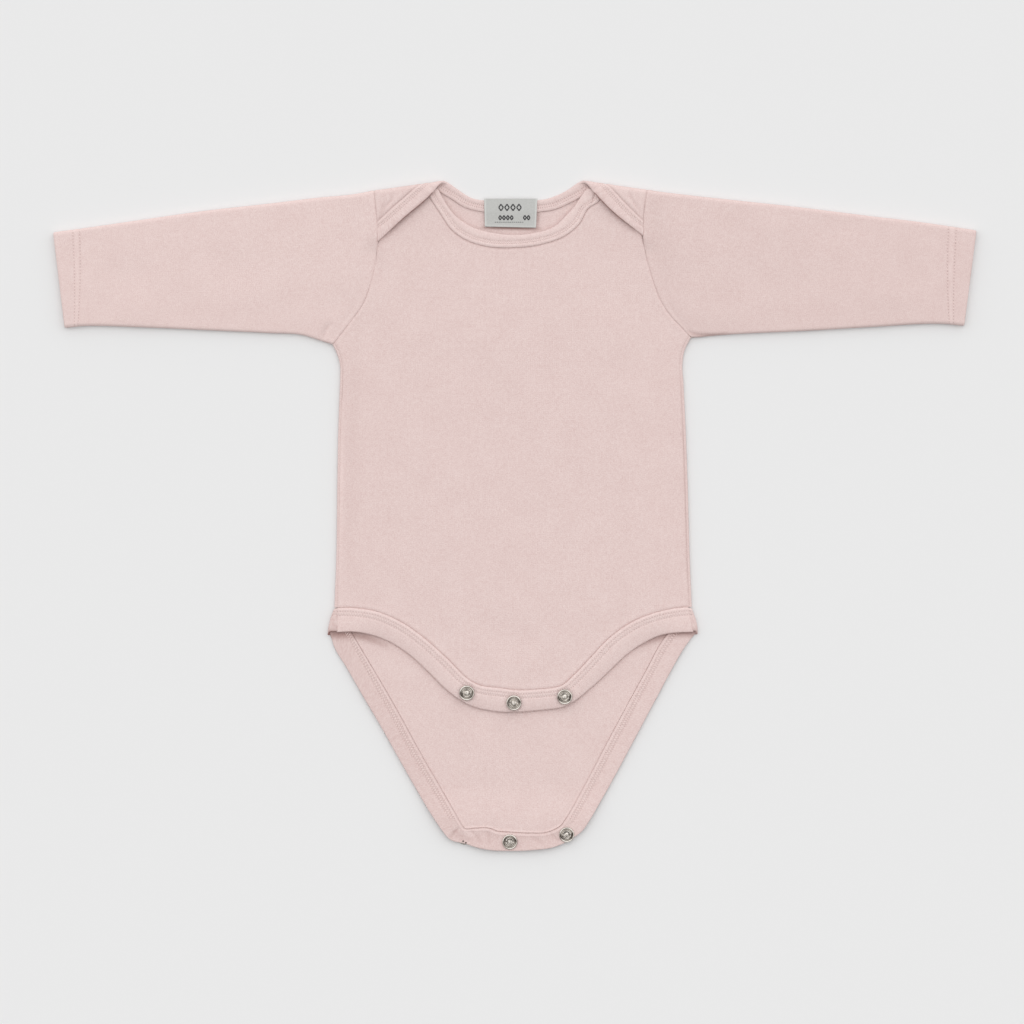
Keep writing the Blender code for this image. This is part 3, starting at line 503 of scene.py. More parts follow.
def folded(points, depth):
    """Where points of the flat back, DEPTH below its outer face, lie once the laps are folded."""
    result = np.column_stack([points, np.broadcast_to(depth, len(points))]).astype(float)
    for shoulder, side in ((SHOULDER_LEFT, -1), (SHOULDER_RIGHT, 1)):
        foot, outward, out, radius = shoulder_frame(shoulder, points)
        travel = out + radius
        angle = np.clip(travel / radius, 0.0, math.pi)
        past = np.maximum(travel - math.pi * radius, 0.0)
        reach = (radius - result[:, 2]) * np.sin(angle) - radius - past
        bent = np.column_stack([foot + outward * reach[:, None],
                                radius - (radius - result[:, 2]) * np.cos(angle)])
        turned = (travel > 0) & (points[:, 0] * side > 0)
        result[turned] = bent[turned]
    return result


def unfolded(shoulder, points):
    """The flat cloth's points for places on top of the folded lap."""
    points = np.atleast_2d(points)
    foot, outward, out, radius = shoulder_frame(shoulder, points)
    lean = np.arcsin(np.clip((out + radius) / radius, 0.0, 1.0))
    travel = np.where(out > -radius, radius * (math.pi - lean), math.pi * radius - out - radius)
    return foot + outward * (travel - radius)[:, None]


def armhole_edge(armhole, start, below_fold):
    """A body panel's edge along an armhole seam, from START past the underarm to a place
    BELOW_FOLD the shoulder fold's outermost line."""
    line = np.array(armhole)
    line[-1, 1] -= below_fold
    edge = curve(line)
    begin = start / lengths(edge)[-1]
    return placed(edge, begin + (1 - begin) * stops(ARMHOLE_LENGTH, CELL))


def neck_sections():
    """Seam and free edge of the back neck binding on the flat cloth, as one curve."""
    rows = []
    for table, shoulder in ((NECK_LAP_LEFT, SHOULDER_LEFT), (NECK_BACK, None),
                            (NECK_LAP_RIGHT, SHOULDER_RIGHT)):
        for row in table:
            seam, edge = np.array([row[:2]]), np.array([row[2:]])
            if shoulder:
                seam, edge = unfolded(shoulder, seam), unfolded(shoulder, edge)
            rows.append((*seam[0], *edge[0]))
    return curve(rows)


side_radius = SIDE_HEIGHT / 2
across = stops(BODY_WIDTH, CELL, FINE_CELL, FINE_CELL)
foot = placed(curve(LEG_BACK_FOOT)[:, :2], across)
top = placed(neck_sections()[:, :2], across)
edges, crests = [], []
for flap, side, underarm, armhole, shoulder, lap_end, turn in (
        (LEG_BACK_LEFT[::-1], SIDE_LEFT, UNDERARM_LEFT, ARMHOLE_LEFT, SHOULDER_LEFT,
         NECK_LAP_LEFT[0], -1),
        (LEG_BACK_RIGHT, SIDE_RIGHT, UNDERARM_RIGHT, ARMHOLE_RIGHT, SHOULDER_RIGHT,
         NECK_LAP_RIGHT[-1], 1)):
    leg = placed(curve(flap)[:, :2], stops(LEG_LENGTH, CELL, FINE_CELL))
    crest = join(placed(curve(side), stops(SIDE_LENGTH, CELL)),
                 placed(curve(underarm), stops(UNDERARM_LENGTH, CELL)))
    body = moved_left(crest, side_radius * turn)
    hole = armhole_edge(armhole, side_radius, LAP_ARM_HEIGHT / 2)
    crest[-1] = armhole_edge(armhole, 0.0, LAP_ARM_HEIGHT / 2)[0]
    leg[-1], body[-1] = body[0], hole[0]
    turned = np.vstack([hole[-1], armhole[-2], lap_end[:2]])
    lap_line = curve([hole[-1], *unfolded(shoulder, turned)])
    lap = placed(lap_line, stops(LAP_LENGTH, FOLD_CELL, None, FINE_CELL))
    side_rows = slice(len(leg) - 1, len(leg) + len(body) - 1)
    edges.append(join(leg, body, hole, lap))
    crests.append(crest)
left, right = edges
foot[0], foot[-1], top[0], top[-1] = left[0], right[0], left[-1], right[-1]
up = (lengths(left) / lengths(left)[-1] + lengths(right) / lengths(right)[-1]) / 2
flat_net = net(foot, top, left, right, across, up)
flat = flat_net.reshape(-1, 2)
points = folded(flat, 0.0)
index = np.arange(len(flat)).reshape(flat_net.shape[:2])
quads = [weave(index, flip=True)]
sewn = np.minimum.reduce([nearest(flat, line)[0] for line in (
    foot, top, left[:side_rows.start + 1], right[:side_rows.start + 1],
    left[side_rows.stop - 1:], right[side_rows.stop - 1:])])
points, flat, sewn = [points], [flat], [sewn]
for column, crest, turn in ((0, crests[0], -1), (-1, crests[1], 1)):
    near = index[side_rows, column]
    fold_line = points[0][near]
    for step in range(1, ARC_STEPS + 1):
        angle = math.pi * step / ARC_STEPS
        out = (crest - fold_line[:, :2]) * math.sin(angle)
        line = np.column_stack([fold_line[:, :2] + out,
                                np.full(len(out), side_radius * (1 - math.cos(angle)))])
        far = np.arange(len(line)) + sum(map(len, points))
        quads.append(weave(np.stack([near, far]), flip=turn < 0))
        points.append(line)
        flat.append(flat[0][index[side_rows, column]] + np.array([turn * side_radius * angle, 0.0]))
        sewn.append(np.full(len(line), side_radius * (math.pi - angle)))
        near = far
points, quads, flat, sewn = map(np.concatenate, (points, quads, flat, sewn))
points[:, 2] += foot_height(points[:, 1])
plan = points[:, :2]
back_panel, _, _ = cloth("jersey_back_panel", points, quads, flat, sewn,
                         creased(plan, BACK_UP) + 0.10 * uneven(plan, size=22.0, seed=1),
                         creased(plan, BACK_DOWN) + 0.15 * uneven(plan, size=24.0, seed=2),
                         painted_shade_up=creased(plan, BACK_UP, "dull"),
                         inside=creased(plan, BACK_INSIDE, "dull"),
                         seam=SEAM_SHADE + LAP_SEAM * (points[:, 2] > LAP_LEVEL))
dress(back_panel, "jersey", "back_panel")

# --- Front panel ----------------------------------------------------------------------
# The front in one piece, sewn to the back along both sides. It runs from the leg binding
# up to the neck and, under the laps, to the armholes, and stands a little off the back.
FRONT_CROWN = 0.8   # how far the middle of the front stands above its sides
FRONT_HALF_WIDTH = 104.0
CROWN_END = 165.0    # where the crown has died out, under the laps, and over what length
CROWN_FADE = 60.0
SHOULDER_GAP = 1.0      # from the front panel's end to the inside of the shoulder fold
SHOULDER_SHARE = 0.16   # share of the top edge that each end under a lap takes
NECK_LENGTH = 140.0     # about how long the front neckline is, and its mesh's cells along it
NECK_CELL = 1.0

# Seam and free edge of the front neck binding, from the left lap round to the right one
NECK_FRONT = records(Section, [
    (-53.5, 195.1, -46.2, 196.3), (-48.4, 187.1, -41.0, 187.2), (-44.4, 181.1, -37.6, 182.4),
    (-38.0, 172.0, -32.1, 177.5), (-27.7, 165.0, -23.7, 172.8), (-16.3, 161.8, -15.3, 170.4),
    (-0.3, 161.2, -1.7, 168.9), (15.7, 163.1, 13.1, 170.2), (29.7, 168.1, 23.9, 174.1),
    (38.8, 175.8, 31.0, 180.8), (43.6, 184.3, 36.4, 187.0), (46.8, 186.6, 38.6, 190.4),
    (49.8, 188.4, 40.7, 193.4), (52.6, 193.8, 43.1, 196.6)])

# Seam and free edge of the front leg binding, from the left hip round to the right one
LEG_FRONT = records(Section, [
    (-106.3, -54.9, -106.9, -69.8), (-97.5, -55.0, -98.1, -69.4), (-83.5, -57.0, -87.0, -71.1),
    (-68.9, -63.1, -75.1, -75.5), (-55.4, -72.3, -63.1, -83.4), (-41.2, -84.9, -51.4, -94.1),
    (-28.2, -97.6, -39.1, -105.8), (-21.9, -101.0, -28.9, -112.6), (-8.7, -103.0, -10.5, -117.3),
    (1.3, -104.2, 0.9, -117.4), (15.3, -103.6, 15.8, -116.4), (27.3, -101.7, 31.1, -113.7),
    (35.1, -95.4, 44.7, -103.8), (45.3, -84.8, 55.9, -93.6), (56.0, -73.5, 67.0, -83.2),
    (68.6, -64.3, 76.3, -76.7), (81.1, -58.8, 86.7, -71.7), (94.5, -55.4, 96.9, -70.0),
    (103.9, -54.4, 106.9, -69.7)])

# Painted shadow lies under the laps' free edges and in some deep folds, and a painted highlight on
# the ridge beside the left side seam
FRONT_UP = records(Crease, [
    (-0.50, 4.5, ((-91.5, 118.5), (-96, 96), (-96.5, 69.5), (-98, 20), (-98.5, -30.0),
                  (-96, -52)), 0.05),
    (0.15, 1.2, ((-105, 84), (-104, 40), (-104.8, -10.0), (-105.5, -48.0)), -0.25),
    (0.25, 4.0, ((-86, 108), (-88, 70), (-89, 10))),
    (-0.20, 2.2, ((100.5, 103.0), (99.6, 95.0), (98, 60), (99.5, 0.0), (101, -46))),
    (-0.10, 1.0, ((100, 98), (100.2, 80.0), (102.2, 20.0), (104.2, -46.0)), 0.2),
    (0.25, 4.0, ((93.3, 96.0), (92, 40), (94, -40))),
    (-0.30, 4.5, ((-81.5, 155.0), (-80, 146), (-82, 136))),
    (0.0, 1.4, ((-90.0, 156.5), (-82.0, 163.8), (-65.9, 178.2), (-50.3, 191.8), (-43, 198)), 0.2),
    (0.0, 1.4, ((40, 200), (47.7, 192.5), (58.7, 181.3), (76.5, 167.3), (86.0, 159.5)), 0.16),
    (0.60, 4.0, ((-82, 175), (-82, 164), (-84, 154))),
    (0.60, 4.0, ((76.5, 178.0), (77, 165), (79.5, 154.0))),
    (-0.25, 9.0, ((-60, 168), (-52, 150), (-50, 120))),
    (-0.25, 10.0, ((58, 170), (52, 150), (56, 118))),
    (0.25, 12.0, ((-20, 150), (-14, 110), (-24, 60))),
    (-0.30, 12.0, ((18, 140), (26, 90), (20, 40))),
    (0.30, 14.0, ((-70, 60), (-40, 10), (-46, -40))),
    (-0.30, 12.0, ((60, 60), (48, 10), (56, -40))),
    (-0.25, 9.0, ((-30, -60), (0, -72), (30, -62))),
    (0.20, 6.0, ((-18, -84), (2, -90), (20, -84)))])


def front_height(points):
    """Outer face of the front panel: a soft crown that dies out at the sides and the laps."""
    across = 1 - np.minimum(np.abs(points[:, 0]) / FRONT_HALF_WIDTH, 1.0) ** 2.5
    below_laps = ease((CROWN_END - points[:, 1]) / CROWN_FADE)
    return SIDE_HEIGHT + FRONT_CROWN * across * below_laps


bottom = placed(curve(LEG_FRONT)[:, :2], across)
edges = []
for side, underarm, armhole, turn in ((SIDE_LEFT, UNDERARM_LEFT, ARMHOLE_LEFT, -1),
                                      (SIDE_RIGHT, UNDERARM_RIGHT, ARMHOLE_RIGHT, 1)):
    crest = join(placed(curve(side), stops(SIDE_LENGTH, CELL, FINE_CELL)),
                 placed(curve(underarm), stops(UNDERARM_LENGTH, CELL)))
    body = moved_left(crest, side_radius * turn)
    hole = armhole_edge(armhole, side_radius, LAP_ARM_HEIGHT / 2 + SHOULDER_GAP)
    body[-1] = hole[0]
    edges.append(join(body, hole))
left, right = edges
neck = placed(curve(NECK_FRONT)[:, :2], stops(NECK_LENGTH, NECK_CELL))
top_line = np.vstack([left[-1], neck, right[-1]])
run = lengths(top_line)
wanted = np.interp(across, [0.0, SHOULDER_SHARE, 1 - SHOULDER_SHARE, 1.0], run[[0, 1, -2, -1]])
top = placed(top_line, wanted / run[-1])
bottom[0], bottom[-1] = left[0], right[0]
up = (lengths(left) / lengths(left)[-1] + lengths(right) / lengths(right)[-1]) / 2
flat_net = net(bottom, top, left, right, across, up)
flat = flat_net.reshape(-1, 2)
points = np.column_stack([flat, front_height(flat)])
index = np.arange(len(flat)).reshape(flat_net.shape[:2])
sewn = np.minimum.reduce([nearest(flat, line)[0] for line in (bottom, left, right, neck)])
front_panel, _, _ = cloth("jersey_front_panel", points, weave(index), flat, sewn,
                          creased(flat, FRONT_UP) + 0.12 * uneven(flat, size=22.0, seed=3), 0.0,
                          painted_shade_up=creased(flat, FRONT_UP, "dull"))
dress(front_panel, "jersey", "front_panel")

# --- Sleeves --------------------------------------------------------------------------
# Each sleeve is one piece of jersey, seamed under the arm into a tube that lies flat. Its
# cuff is turned in once and held by two rows of cover stitch, which pull it in a little.
SLEEVE_UNDERARM_HEIGHT = 3.0
SLEEVE_SHOULDER_HEIGHT = 4.4
SLEEVE_CUFF_HEIGHT = 3.9
SLEEVE_CROWN = 0.45
SLEEVE_CROWN_FADE = 0.25    # share of the sleeve's length at each end without the full crown
SLEEVE_ROUND = 168.0        # about how far it is round a sleeve half way along
HEM_TURN = 1.5      # from the cuff's outer face to the inner face of its turned-in hem
HEM_DEPTH = 15.5
HEM_MARGIN = 3.0    # above the cuff's stitches, up to where the mesh is fine
HEM_SWELL = 0.05    # how far the doubled cloth stands out below its stitches
SLEEVE_CELL = 2.0
ACROSS_STEPS = 86   # across one face of a sleeve
LOOP_COLUMNS = 3    # columns of cells to one stitch, round a cuff or along a binding
STITCH_PULL = 0.28  # how far a row of stitches sinks into the cloth, and over what width
STITCH_WIDTH = 0.45
CUFF_PALE = 0.1     # light painted on the cloth that stands out a little between a cuff's two rows
LEFT_PALE = 0.07    # light painted on the left sleeve, and a little shade on the right one, as the light falls slightly from the left
RIGHT_PALE = -0.02  # the right one
SEAM_BLEND = 12.0   # from an armhole on, over which a sleeve takes its own height
FOLD_BLEND = 0.06   # share of its width at each fold that keeps that height
LAP_EDGE = 157.0    # where along the armholes the shoulder laps begin, and over what length the cloth rises to them or the shade painted on its seam grows
LAP_EDGE_SOFT = 12.0    # the cloth rises to them or
LAP_SEAM_SHADE_SOFT = 10.0    # its seam grows dull

THREAD_RADIUS = 0.22
THREAD_COLOUR = "F2E0DB"
NEEDLE_HOLE_SHADE = "9C7070"
HOLE_DARK = 0.42    # shade painted on the cloth round a needle hole, and how far round it
HOLE_SPREAD = 0.4
RUNG_DARK = 0.6     # shade painted between two threads that cross from row to row
RUNG_REACH = 1.6    # rows this far apart or nearer show them in full
ThreadStep = namedtuple("ThreadStep", "along lift sunk")
# One stitch from needle hole to needle hole: it dips into the cloth at both of its ends,
# where shade is painted on it
STITCH = records(ThreadStep, [
    (0.02, -0.26, 1.0), (0.17, 0.03, 0.45), (0.5, 0.14, 0.0), (0.83, 0.03, 0.45),
    (0.98, -0.26, 1.0)])
THREAD_SIDES = 6

SleeveSection = namedtuple("SleeveSection", "top_x top_y under_x under_y")
SLEEVE_LEFT = records(SleeveSection, [
    (-84.3, 195.4, -109.3, 103.0), (-97.5, 193.0, -116.7, 105.3), (-116.7, 191.2, -127.5, 108.6),
    (-145.5, 187.7, -147.0, 109.8), (-183.9, 183.4, -183.9, 111.5), (-222.3, 178.0, -222.3, 113.2),
    (-251.1, 173.8, -255.9, 114.1), (-276.9, 170.2, -270.0, 113.0)])
SLEEVE_RIGHT = records(SleeveSection, [
    (78.9, 195.8, 105.5, 107.2), (87.9, 194.5, 110.1, 107.3), (105.3, 192.4, 116.1, 108.0),
    (132.9, 189.4, 133.5, 109.3), (171.3, 185.2, 171.3, 111.0), (209.7, 180.4, 209.7, 113.2),
    (248.1, 175.7, 252.9, 115.4), (276.7, 171.4, 269.3, 114.2)])
CUFF_ROWS_LEFT = (10.1, 13.7)    # the two rows of stitches, from the cuff's edge
CUFF_ROWS_RIGHT = (10.6, 14.7)

# Shade is painted in the tightest creases: under both arms and beside the right armhole
SLEEVE_UP = records(Crease, [
    (-0.90, 1.5, ((-110.0, 116.5), (-113.5, 111.5), (-117, 104)), 0.16),
    (-0.30, 6.0, ((-98, 134), (-110, 124), (-124, 118))),
    (0.30, 8.0, ((-134, 121), (-118, 120), (-104, 124))),
    (-0.45, 9.0, ((-248, 150), (-233.0, 144.5), (-216, 146))),
    (0.35, 9.0, ((-244, 124), (-227, 122), (-208, 123))),
    (-0.30, 11.0, ((-200, 160), (-170, 150), (-138, 156))),
    (0.25, 9.0, ((-176, 132), (-150, 134), (-128, 142))),
    (-0.65, 5.5, ((83, 196), (84, 178), (87.5, 158.0), (94, 130)), 0.05),
    (0.30, 6.0, ((98, 186), (99, 168), (104, 146))),
    (-0.60, 1.2, ((102.5, 111.5), (106.5, 109.4), (115.0, 108.4), (130.0, 109.2)), 0.4),
    (0.35, 9.0, ((100, 122), (118, 119), (136, 121))),
    (-0.45, 10.0, ((176, 168), (195.0, 174.5), (216, 170))),
    (0.30, 9.0, ((142, 175), (156, 173), (172, 178))),
    (-0.30, 11.0, ((130, 148), (165, 142), (204, 150))),
    (0.25, 8.0, ((206, 128), (228, 132), (250, 130)))])
SLEEVE_DOWN = records(Crease, [
    (-0.50, 7.0, ((-96, 176), (-104, 156), (-120, 134))),
    (-0.45, 9.0, ((-150, 160), (-180, 150), (-214, 154))),
    (-0.40, 8.0, ((-206, 130), (-232, 136), (-252, 134))),
    (-0.50, 7.0, ((90, 178), (98, 154), (116, 132))),
    (-0.45, 9.0, ((140, 162), (176, 154), (210, 158))),
    (-0.40, 8.0, ((196, 128), (226, 134), (250, 140)))])

thread, tree, surface = new_material("core-spun polyester thread, dyed to match")
# A smooth thread, slightly paler than the cloth, with shade painted where it dips into its
# needle holes
sunk = add_node(tree, "ShaderNodeAttribute", attribute_name="needle").outputs["Fac"]
spun = add_node(tree, "ShaderNodeMix", {
    0: sunk, 6: linear(THREAD_COLOUR), 7: linear(NEEDLE_HOLE_SHADE)}, data_type="RGBA")
fibre = add_node(tree, "ShaderNodeBsdfPrincipled", {
    "Base Color": spun.outputs[2], "Roughness": 0.7, "Sheen Weight": 0.1,
    "Specular IOR Level": 0.3})
tree.links.new(fibre.outputs["BSDF"], surface)


def sew(name, seams, radius=THREAD_RADIUS):
    """The thread of SEAMS, each of them the starts, ends and cloth's normals of its stitches."""
    starts, ends, facing = (np.concatenate(parts) for parts in zip(*seams))
    way = ends - starts
    side = np.cross(facing, way)
    side /= np.linalg.norm(side, axis=1)[:, None]
    lift = np.cross(way, side)
    lift /= np.linalg.norm(lift, axis=1)[:, None]
    rings = []
    for step in STITCH:
        for corner in range(THREAD_SIDES):
            angle = 2 * math.pi * corner / THREAD_SIDES
            rings.append(starts + way * step.along + side * (radius * math.cos(angle))
                         + lift * (step.lift + radius * math.sin(angle)))
    count = len(rings)
    points = np.stack(rings, axis=1).reshape(-1, 3)
    last = count - THREAD_SIDES
    one = np.concatenate([weave(np.arange(count).reshape(-1, THREAD_SIDES), ring=True), [
        (3, 2, 1, 0), (5, 4, 3, 0), (last, last + 1, last + 2, last + 3),
        (last, last + 3, last + 4, last + 5)]])
    faces = (one[None] + (np.arange(len(starts)) * count)[:, None, None]).reshape(-1, 4)
    # How much shade is painted at each ring of its stitches
    depth = np.tile(np.repeat([step.sunk for step in STITCH], THREAD_SIDES), len(starts))
    item = new_object(name, points, faces.tolist(), thread,
                      needle=np.repeat(depth[:, None], 3, axis=1))
    dress(item, "jersey")
    return item


def row_of_stitches(points, facing):
    """Starts, ends and normals of the stitches between every third point of a row."""
    holes, up = points[::LOOP_COLUMNS], facing[::LOOP_COLUMNS]
    return holes[:-1], holes[1:], up[:-1] + up[1:]


def stitched(away, rows, phase):
    """Rise of the cloth at a distance AWAY from its edge or seam where ROWS of stitches run;
    PHASE counts cells along a row, and needle holes pull deepest."""
    pull = 0.65 + 0.35 * np.cos(2 * math.pi * phase / LOOP_COLUMNS)
    return sum(-STITCH_PULL * pull * np.exp(-((away - row) / STITCH_WIDTH) ** 2) for row in rows)


def needle_shade(away, rows, phase, crossed=False):
    """How much shade is painted on the cloth round the needle holes of its ROWS of stitches,
    and between the threads that cross from row to row where CROSSED."""
    turn = np.cos(2 * math.pi * phase / LOOP_COLUMNS)
    stitch = np.floor(phase / LOOP_COLUMNS + 0.5)
    # No two stitches are drawn equally tight
    firm = 0.7 + 0.3 * np.sin(stitch * 2.4) * np.sin(stitch * 0.37 + 1.0)
    holes = (HOLE_DARK * np.maximum(turn, 0.1)
             * sum(np.exp(-((away - row) / HOLE_SPREAD) ** 2) for row in rows))
    between = ease((away - rows[0] + 0.3) / 0.4) * ease((rows[-1] + 0.3 - away) / 0.4)
    rungs = min(RUNG_REACH / (rows[-1] - rows[0]), 1.0)
    ladder = (1.3 - 0.6 * rungs) * holes - rungs * between * (0.02 + RUNG_DARK * turn)
    return firm * np.where(crossed, ladder, holes)


def needle_stops(rows, start, end, step=0.6):
    """Distances from START to END about STEP apart, with extra ones at and beside ROWS."""
    plain = [stop for stop in np.arange(start, end - step / 2, step)
             if all(abs(stop - row) > 0.75 for row in rows)]
    close = [row + beside for row in rows for beside in (-0.6, -0.3, 0, 0.3, 0.6)]
    return np.array(sorted([*plain, end, *close]))


def sleeve_ring(width, low, high, depth):
    """Shares of the width and heights of points round a flattened sleeve from its underarm
    fold, DEPTH inside its outer face, and which of them lie on top."""
    turns = np.linspace(-0.5, 0.5, ARC_STEPS + 1) * math.pi
    under, over = (
        (radius - (radius - depth) * np.cos(turns), radius + (radius - depth) * np.sin(turns))
        for radius in (low / 2, high / 2))
    shares = np.linspace(low / 2 / width, 1 - high / 2 / width, ACROSS_STEPS + 1)[1:-1]
    share = np.concatenate([under[0] / width, shares, 1 - over[0][::-1] / width, shares[::-1]])
    height = np.concatenate([under[1], low + (high - low) * shares - depth, over[1][::-1],
                             np.full(len(shares), depth)])
    on_top = np.zeros(len(share))
    on_top[len(turns):len(turns) + len(shares)] = 1.0
    return share, height, on_top


for name, table, armhole, cuff_rows, pale, turn in (
        ("left", SLEEVE_LEFT, ARMHOLE_LEFT, CUFF_ROWS_LEFT, LEFT_PALE, -1),
        ("right", SLEEVE_RIGHT, ARMHOLE_RIGHT, CUFF_ROWS_RIGHT, RIGHT_PALE, 1)):
    line = curve(table)
    length = np.linalg.norm(line[-1, :2] - line[0, :2])
    hole = curve(armhole)
    bend_radius = HEM_TURN / 2
    hem_top = cuff_rows[1] + HEM_MARGIN
    above_hem = length - hem_top
    body_stops = above_hem * (1 - stops(above_hem, SLEEVE_CELL, FINE_CELL)) + hem_top
    outside = [*body_stops[:-1], *needle_stops(cuff_rows, bend_radius, hem_top, 0.9)[::-1]]
    # Distance from the cuff's edge and depth of each ring, from the armhole over the cuff's
    # edge to the end of the turned-in hem
    stations = [(stop, 0.0) for stop in outside]
    stations += [(bend_radius * (1 - math.sin(angle)), bend_radius * (1 - math.cos(angle)))
                 for angle in np.linspace(0, math.pi, 8)[1:]]
    stations += [(stop, HEM_TURN) for stop in np.linspace(bend_radius, HEM_DEPTH, 9)[1:]]
    rings, flats, sewn, from_cuff = [], [], [], []
    for stop, depth in stations:
        along = 1 - stop / length
        row = placed(line, [along])[0]
        upper, lower = (hole[-1], hole[0]) if along <= 1e-9 else (row[:2], row[2:])
        low = SLEEVE_UNDERARM_HEIGHT + (SLEEVE_CUFF_HEIGHT - SLEEVE_UNDERARM_HEIGHT) * along
        high = SLEEVE_SHOULDER_HEIGHT + (SLEEVE_CUFF_HEIGHT - SLEEVE_SHOULDER_HEIGHT) * along
        share, height, on_top = sleeve_ring(np.linalg.norm(upper - lower), low, high, depth)
        part = share[:, None]
        bend = (1 - along) * (placed(hole, share) - (1 - part) * hole[0] - part * hole[-1])
        # At the armhole the top lies level with what it is sewn to: the front, then the lap
        blend = (on_top * (1 - ease((length - stop) / SEAM_BLEND))
                 * ease(share / FOLD_BLEND) * ease((1 - share) / FOLD_BLEND))
        on_lap = ease((placed(hole, share)[:, 1] - LAP_EDGE) / LAP_EDGE_SOFT)
        level = SIDE_HEIGHT + (LAP_ARM_HEIGHT - SIDE_HEIGHT) * on_lap
        height = height + (level - depth - height) * blend
        crown = SLEEVE_CROWN * np.sin(math.pi * share) * on_top
        crown *= ease(along / SLEEVE_CROWN_FADE) * ease((1 - along) / SLEEVE_CROWN_FADE)
        rings.append(np.column_stack([(1 - part) * lower + part * upper + bend, height + crown]))
        columns = len(share)
        inner_run = stop if depth == 0 else -stop
        flats.append(np.column_stack([np.arange(columns) * SLEEVE_ROUND / columns,
                                      np.full(columns, length - inner_run)]))
        sewn.append(np.full(columns, max(length - stop, 0.0) if depth == 0 else length))
        from_cuff.append(np.full(columns, stop if depth == 0 else -1.0))
    points, flat = np.concatenate(rings), np.concatenate(flats)
    sewn, from_cuff = np.concatenate(sewn), np.concatenate(from_cuff)
    index = np.arange(len(points)).reshape(len(rings), columns)
    on_hem = (from_cuff >= 0) * ease((cuff_rows[1] - from_cuff) / 1.5)
    phase = np.tile(np.arange(columns), len(rings))
    pulled = stitched(from_cuff, cuff_rows, phase) + HEM_SWELL * on_hem
    plan = points[:, :2]
    outer = from_cuff >= 0
    # Light is painted on the left sleeve and between the cuff's rows, shade round its needle holes
    paler = pale + CUFF_PALE * np.exp(-(from_cuff - sum(cuff_rows) / 2) ** 2) * outer
    sleeve, final, facing = cloth(
        f"jersey_sleeve_{name}", points, weave(index, ring=True, flip=turn > 0), flat, sewn,
        (creased(plan, SLEEVE_UP) + 0.10 * uneven(plan, size=18.0, seed=4)) * outer,
        (creased(plan, SLEEVE_DOWN) + 0.12 * uneven(plan, size=20.0, seed=5)) * outer, pulled,
        needle_shade(from_cuff, cuff_rows, phase) - paler,
        painted_shade_up=creased(plan, SLEEVE_UP, "dull") * outer,
        seam=SEAM_SHADE + LAP_SEAM * ease((points[:, 1] - LAP_EDGE) / LAP_SEAM_SHADE_SOFT))
    dress(sleeve, "jersey", f"sleeve_{name}")
    seams = []
    for cuff_row in cuff_rows:
        ring = index[outside.index(cuff_row)]
        ring = np.append(ring, ring[0])
        seams.append(row_of_stitches(final[ring], facing[ring]))
    hem_thread = sew(f"thread_cuff_{name}", seams)

# --- Neck bindings --------------------------------------------------------------------
# Strips of the same jersey, folded over the raw edges of the neck and of the two laps and
# held by two rows of cover stitch. The front one ends under the laps.
BINDING = 1.5       # folded binding, through both of its layers
BINDING_PROUD = 0.7     # binding above the panel that it is sewn to
BINDING_PALE = 0.16     # a highlight painted on the pressed ridge over the raw edges inside, and its place from the seam
BINDING_PALE_PLACE = 1.2
BINDING_PALE_WIDTH = 0.35
BINDING_SWELL = 0.2     # how far a binding's free half bulges
EDGE_SHADE = 0.5    # how far in from its rolled edge that edge's own shade reaches
PUCKER = 0.07       # small puckers that the stitches draw
NECK_PITCH = 1.85   # from needle hole to needle hole
NECK_ROWS = (2.3, 3.8)  # the two rows of stitches, from the seam
NECK_FLAT = 3       # cells from the stitches to the rolled edge
NECK_PALE = 0.13    # light painted on the front one, which makes it a little paler
EDGE_STEPS = 7      # round a binding's rolled edge
SNAP_DENT = 0.45    # how deep a snap is pressed into its binding, how far the dent's floor
SNAP_DENT_REACH = 4.0   # reaches and over what width it rises again
SNAP_DENT_SOFT = 3.0
LAP_LIFT = 0.6      # how far a lap's free edge stands off the front
LAP_LIFT_START = 14.0   # over what length from the armhole
CROSS_RADIUS = 0.2  # the looper thread that joins the two rows

# At its right end the front neck binding is turned back on itself in a small tab, and both
# of its ends lie in the shade of the laps
TAB_FOLDS = [
    Crease(-0.5, 0.5, ((44.6, 184.6), (46.4, 189.0), (48.6, 194.6)), 0.15),
    Crease(0.0, 1.5, ((-49.0, 198.0), (-44.5, 197.6), (-38.0, 194.5)), 0.5),
    Crease(0.0, 1.5, ((35.0, 195.5), (40.5, 198.0), (46.0, 198.5)), 0.5)]


def profile(width, rows, plain, under_rows):
    """Outer line across a folded binding: distances from the seam and depths, from the seam on
    its outer face round the free edge to the seam on its other face."""
    radius = BINDING / 2
    over = needle_stops(rows, 0.0, rows[-1] + 1.0)
    under = needle_stops(under_rows, 0.0, rows[-1] + 1.0, 1.2 if not under_rows else 0.6)
    rest = np.linspace(over[-1], width - radius, plain + 1)[1:]
    turns = np.linspace(0, math.pi, EDGE_STEPS + 1)[1:-1]
    bend = width - radius + radius * np.sin(turns)
    away = np.concatenate([over, rest, bend, rest[::-1], under[::-1]])
    depth = np.concatenate([np.zeros(len(over) + len(rest)), radius * (1 - np.cos(turns)),
                            np.full(len(rest) + len(under), BINDING)])
    return away, depth


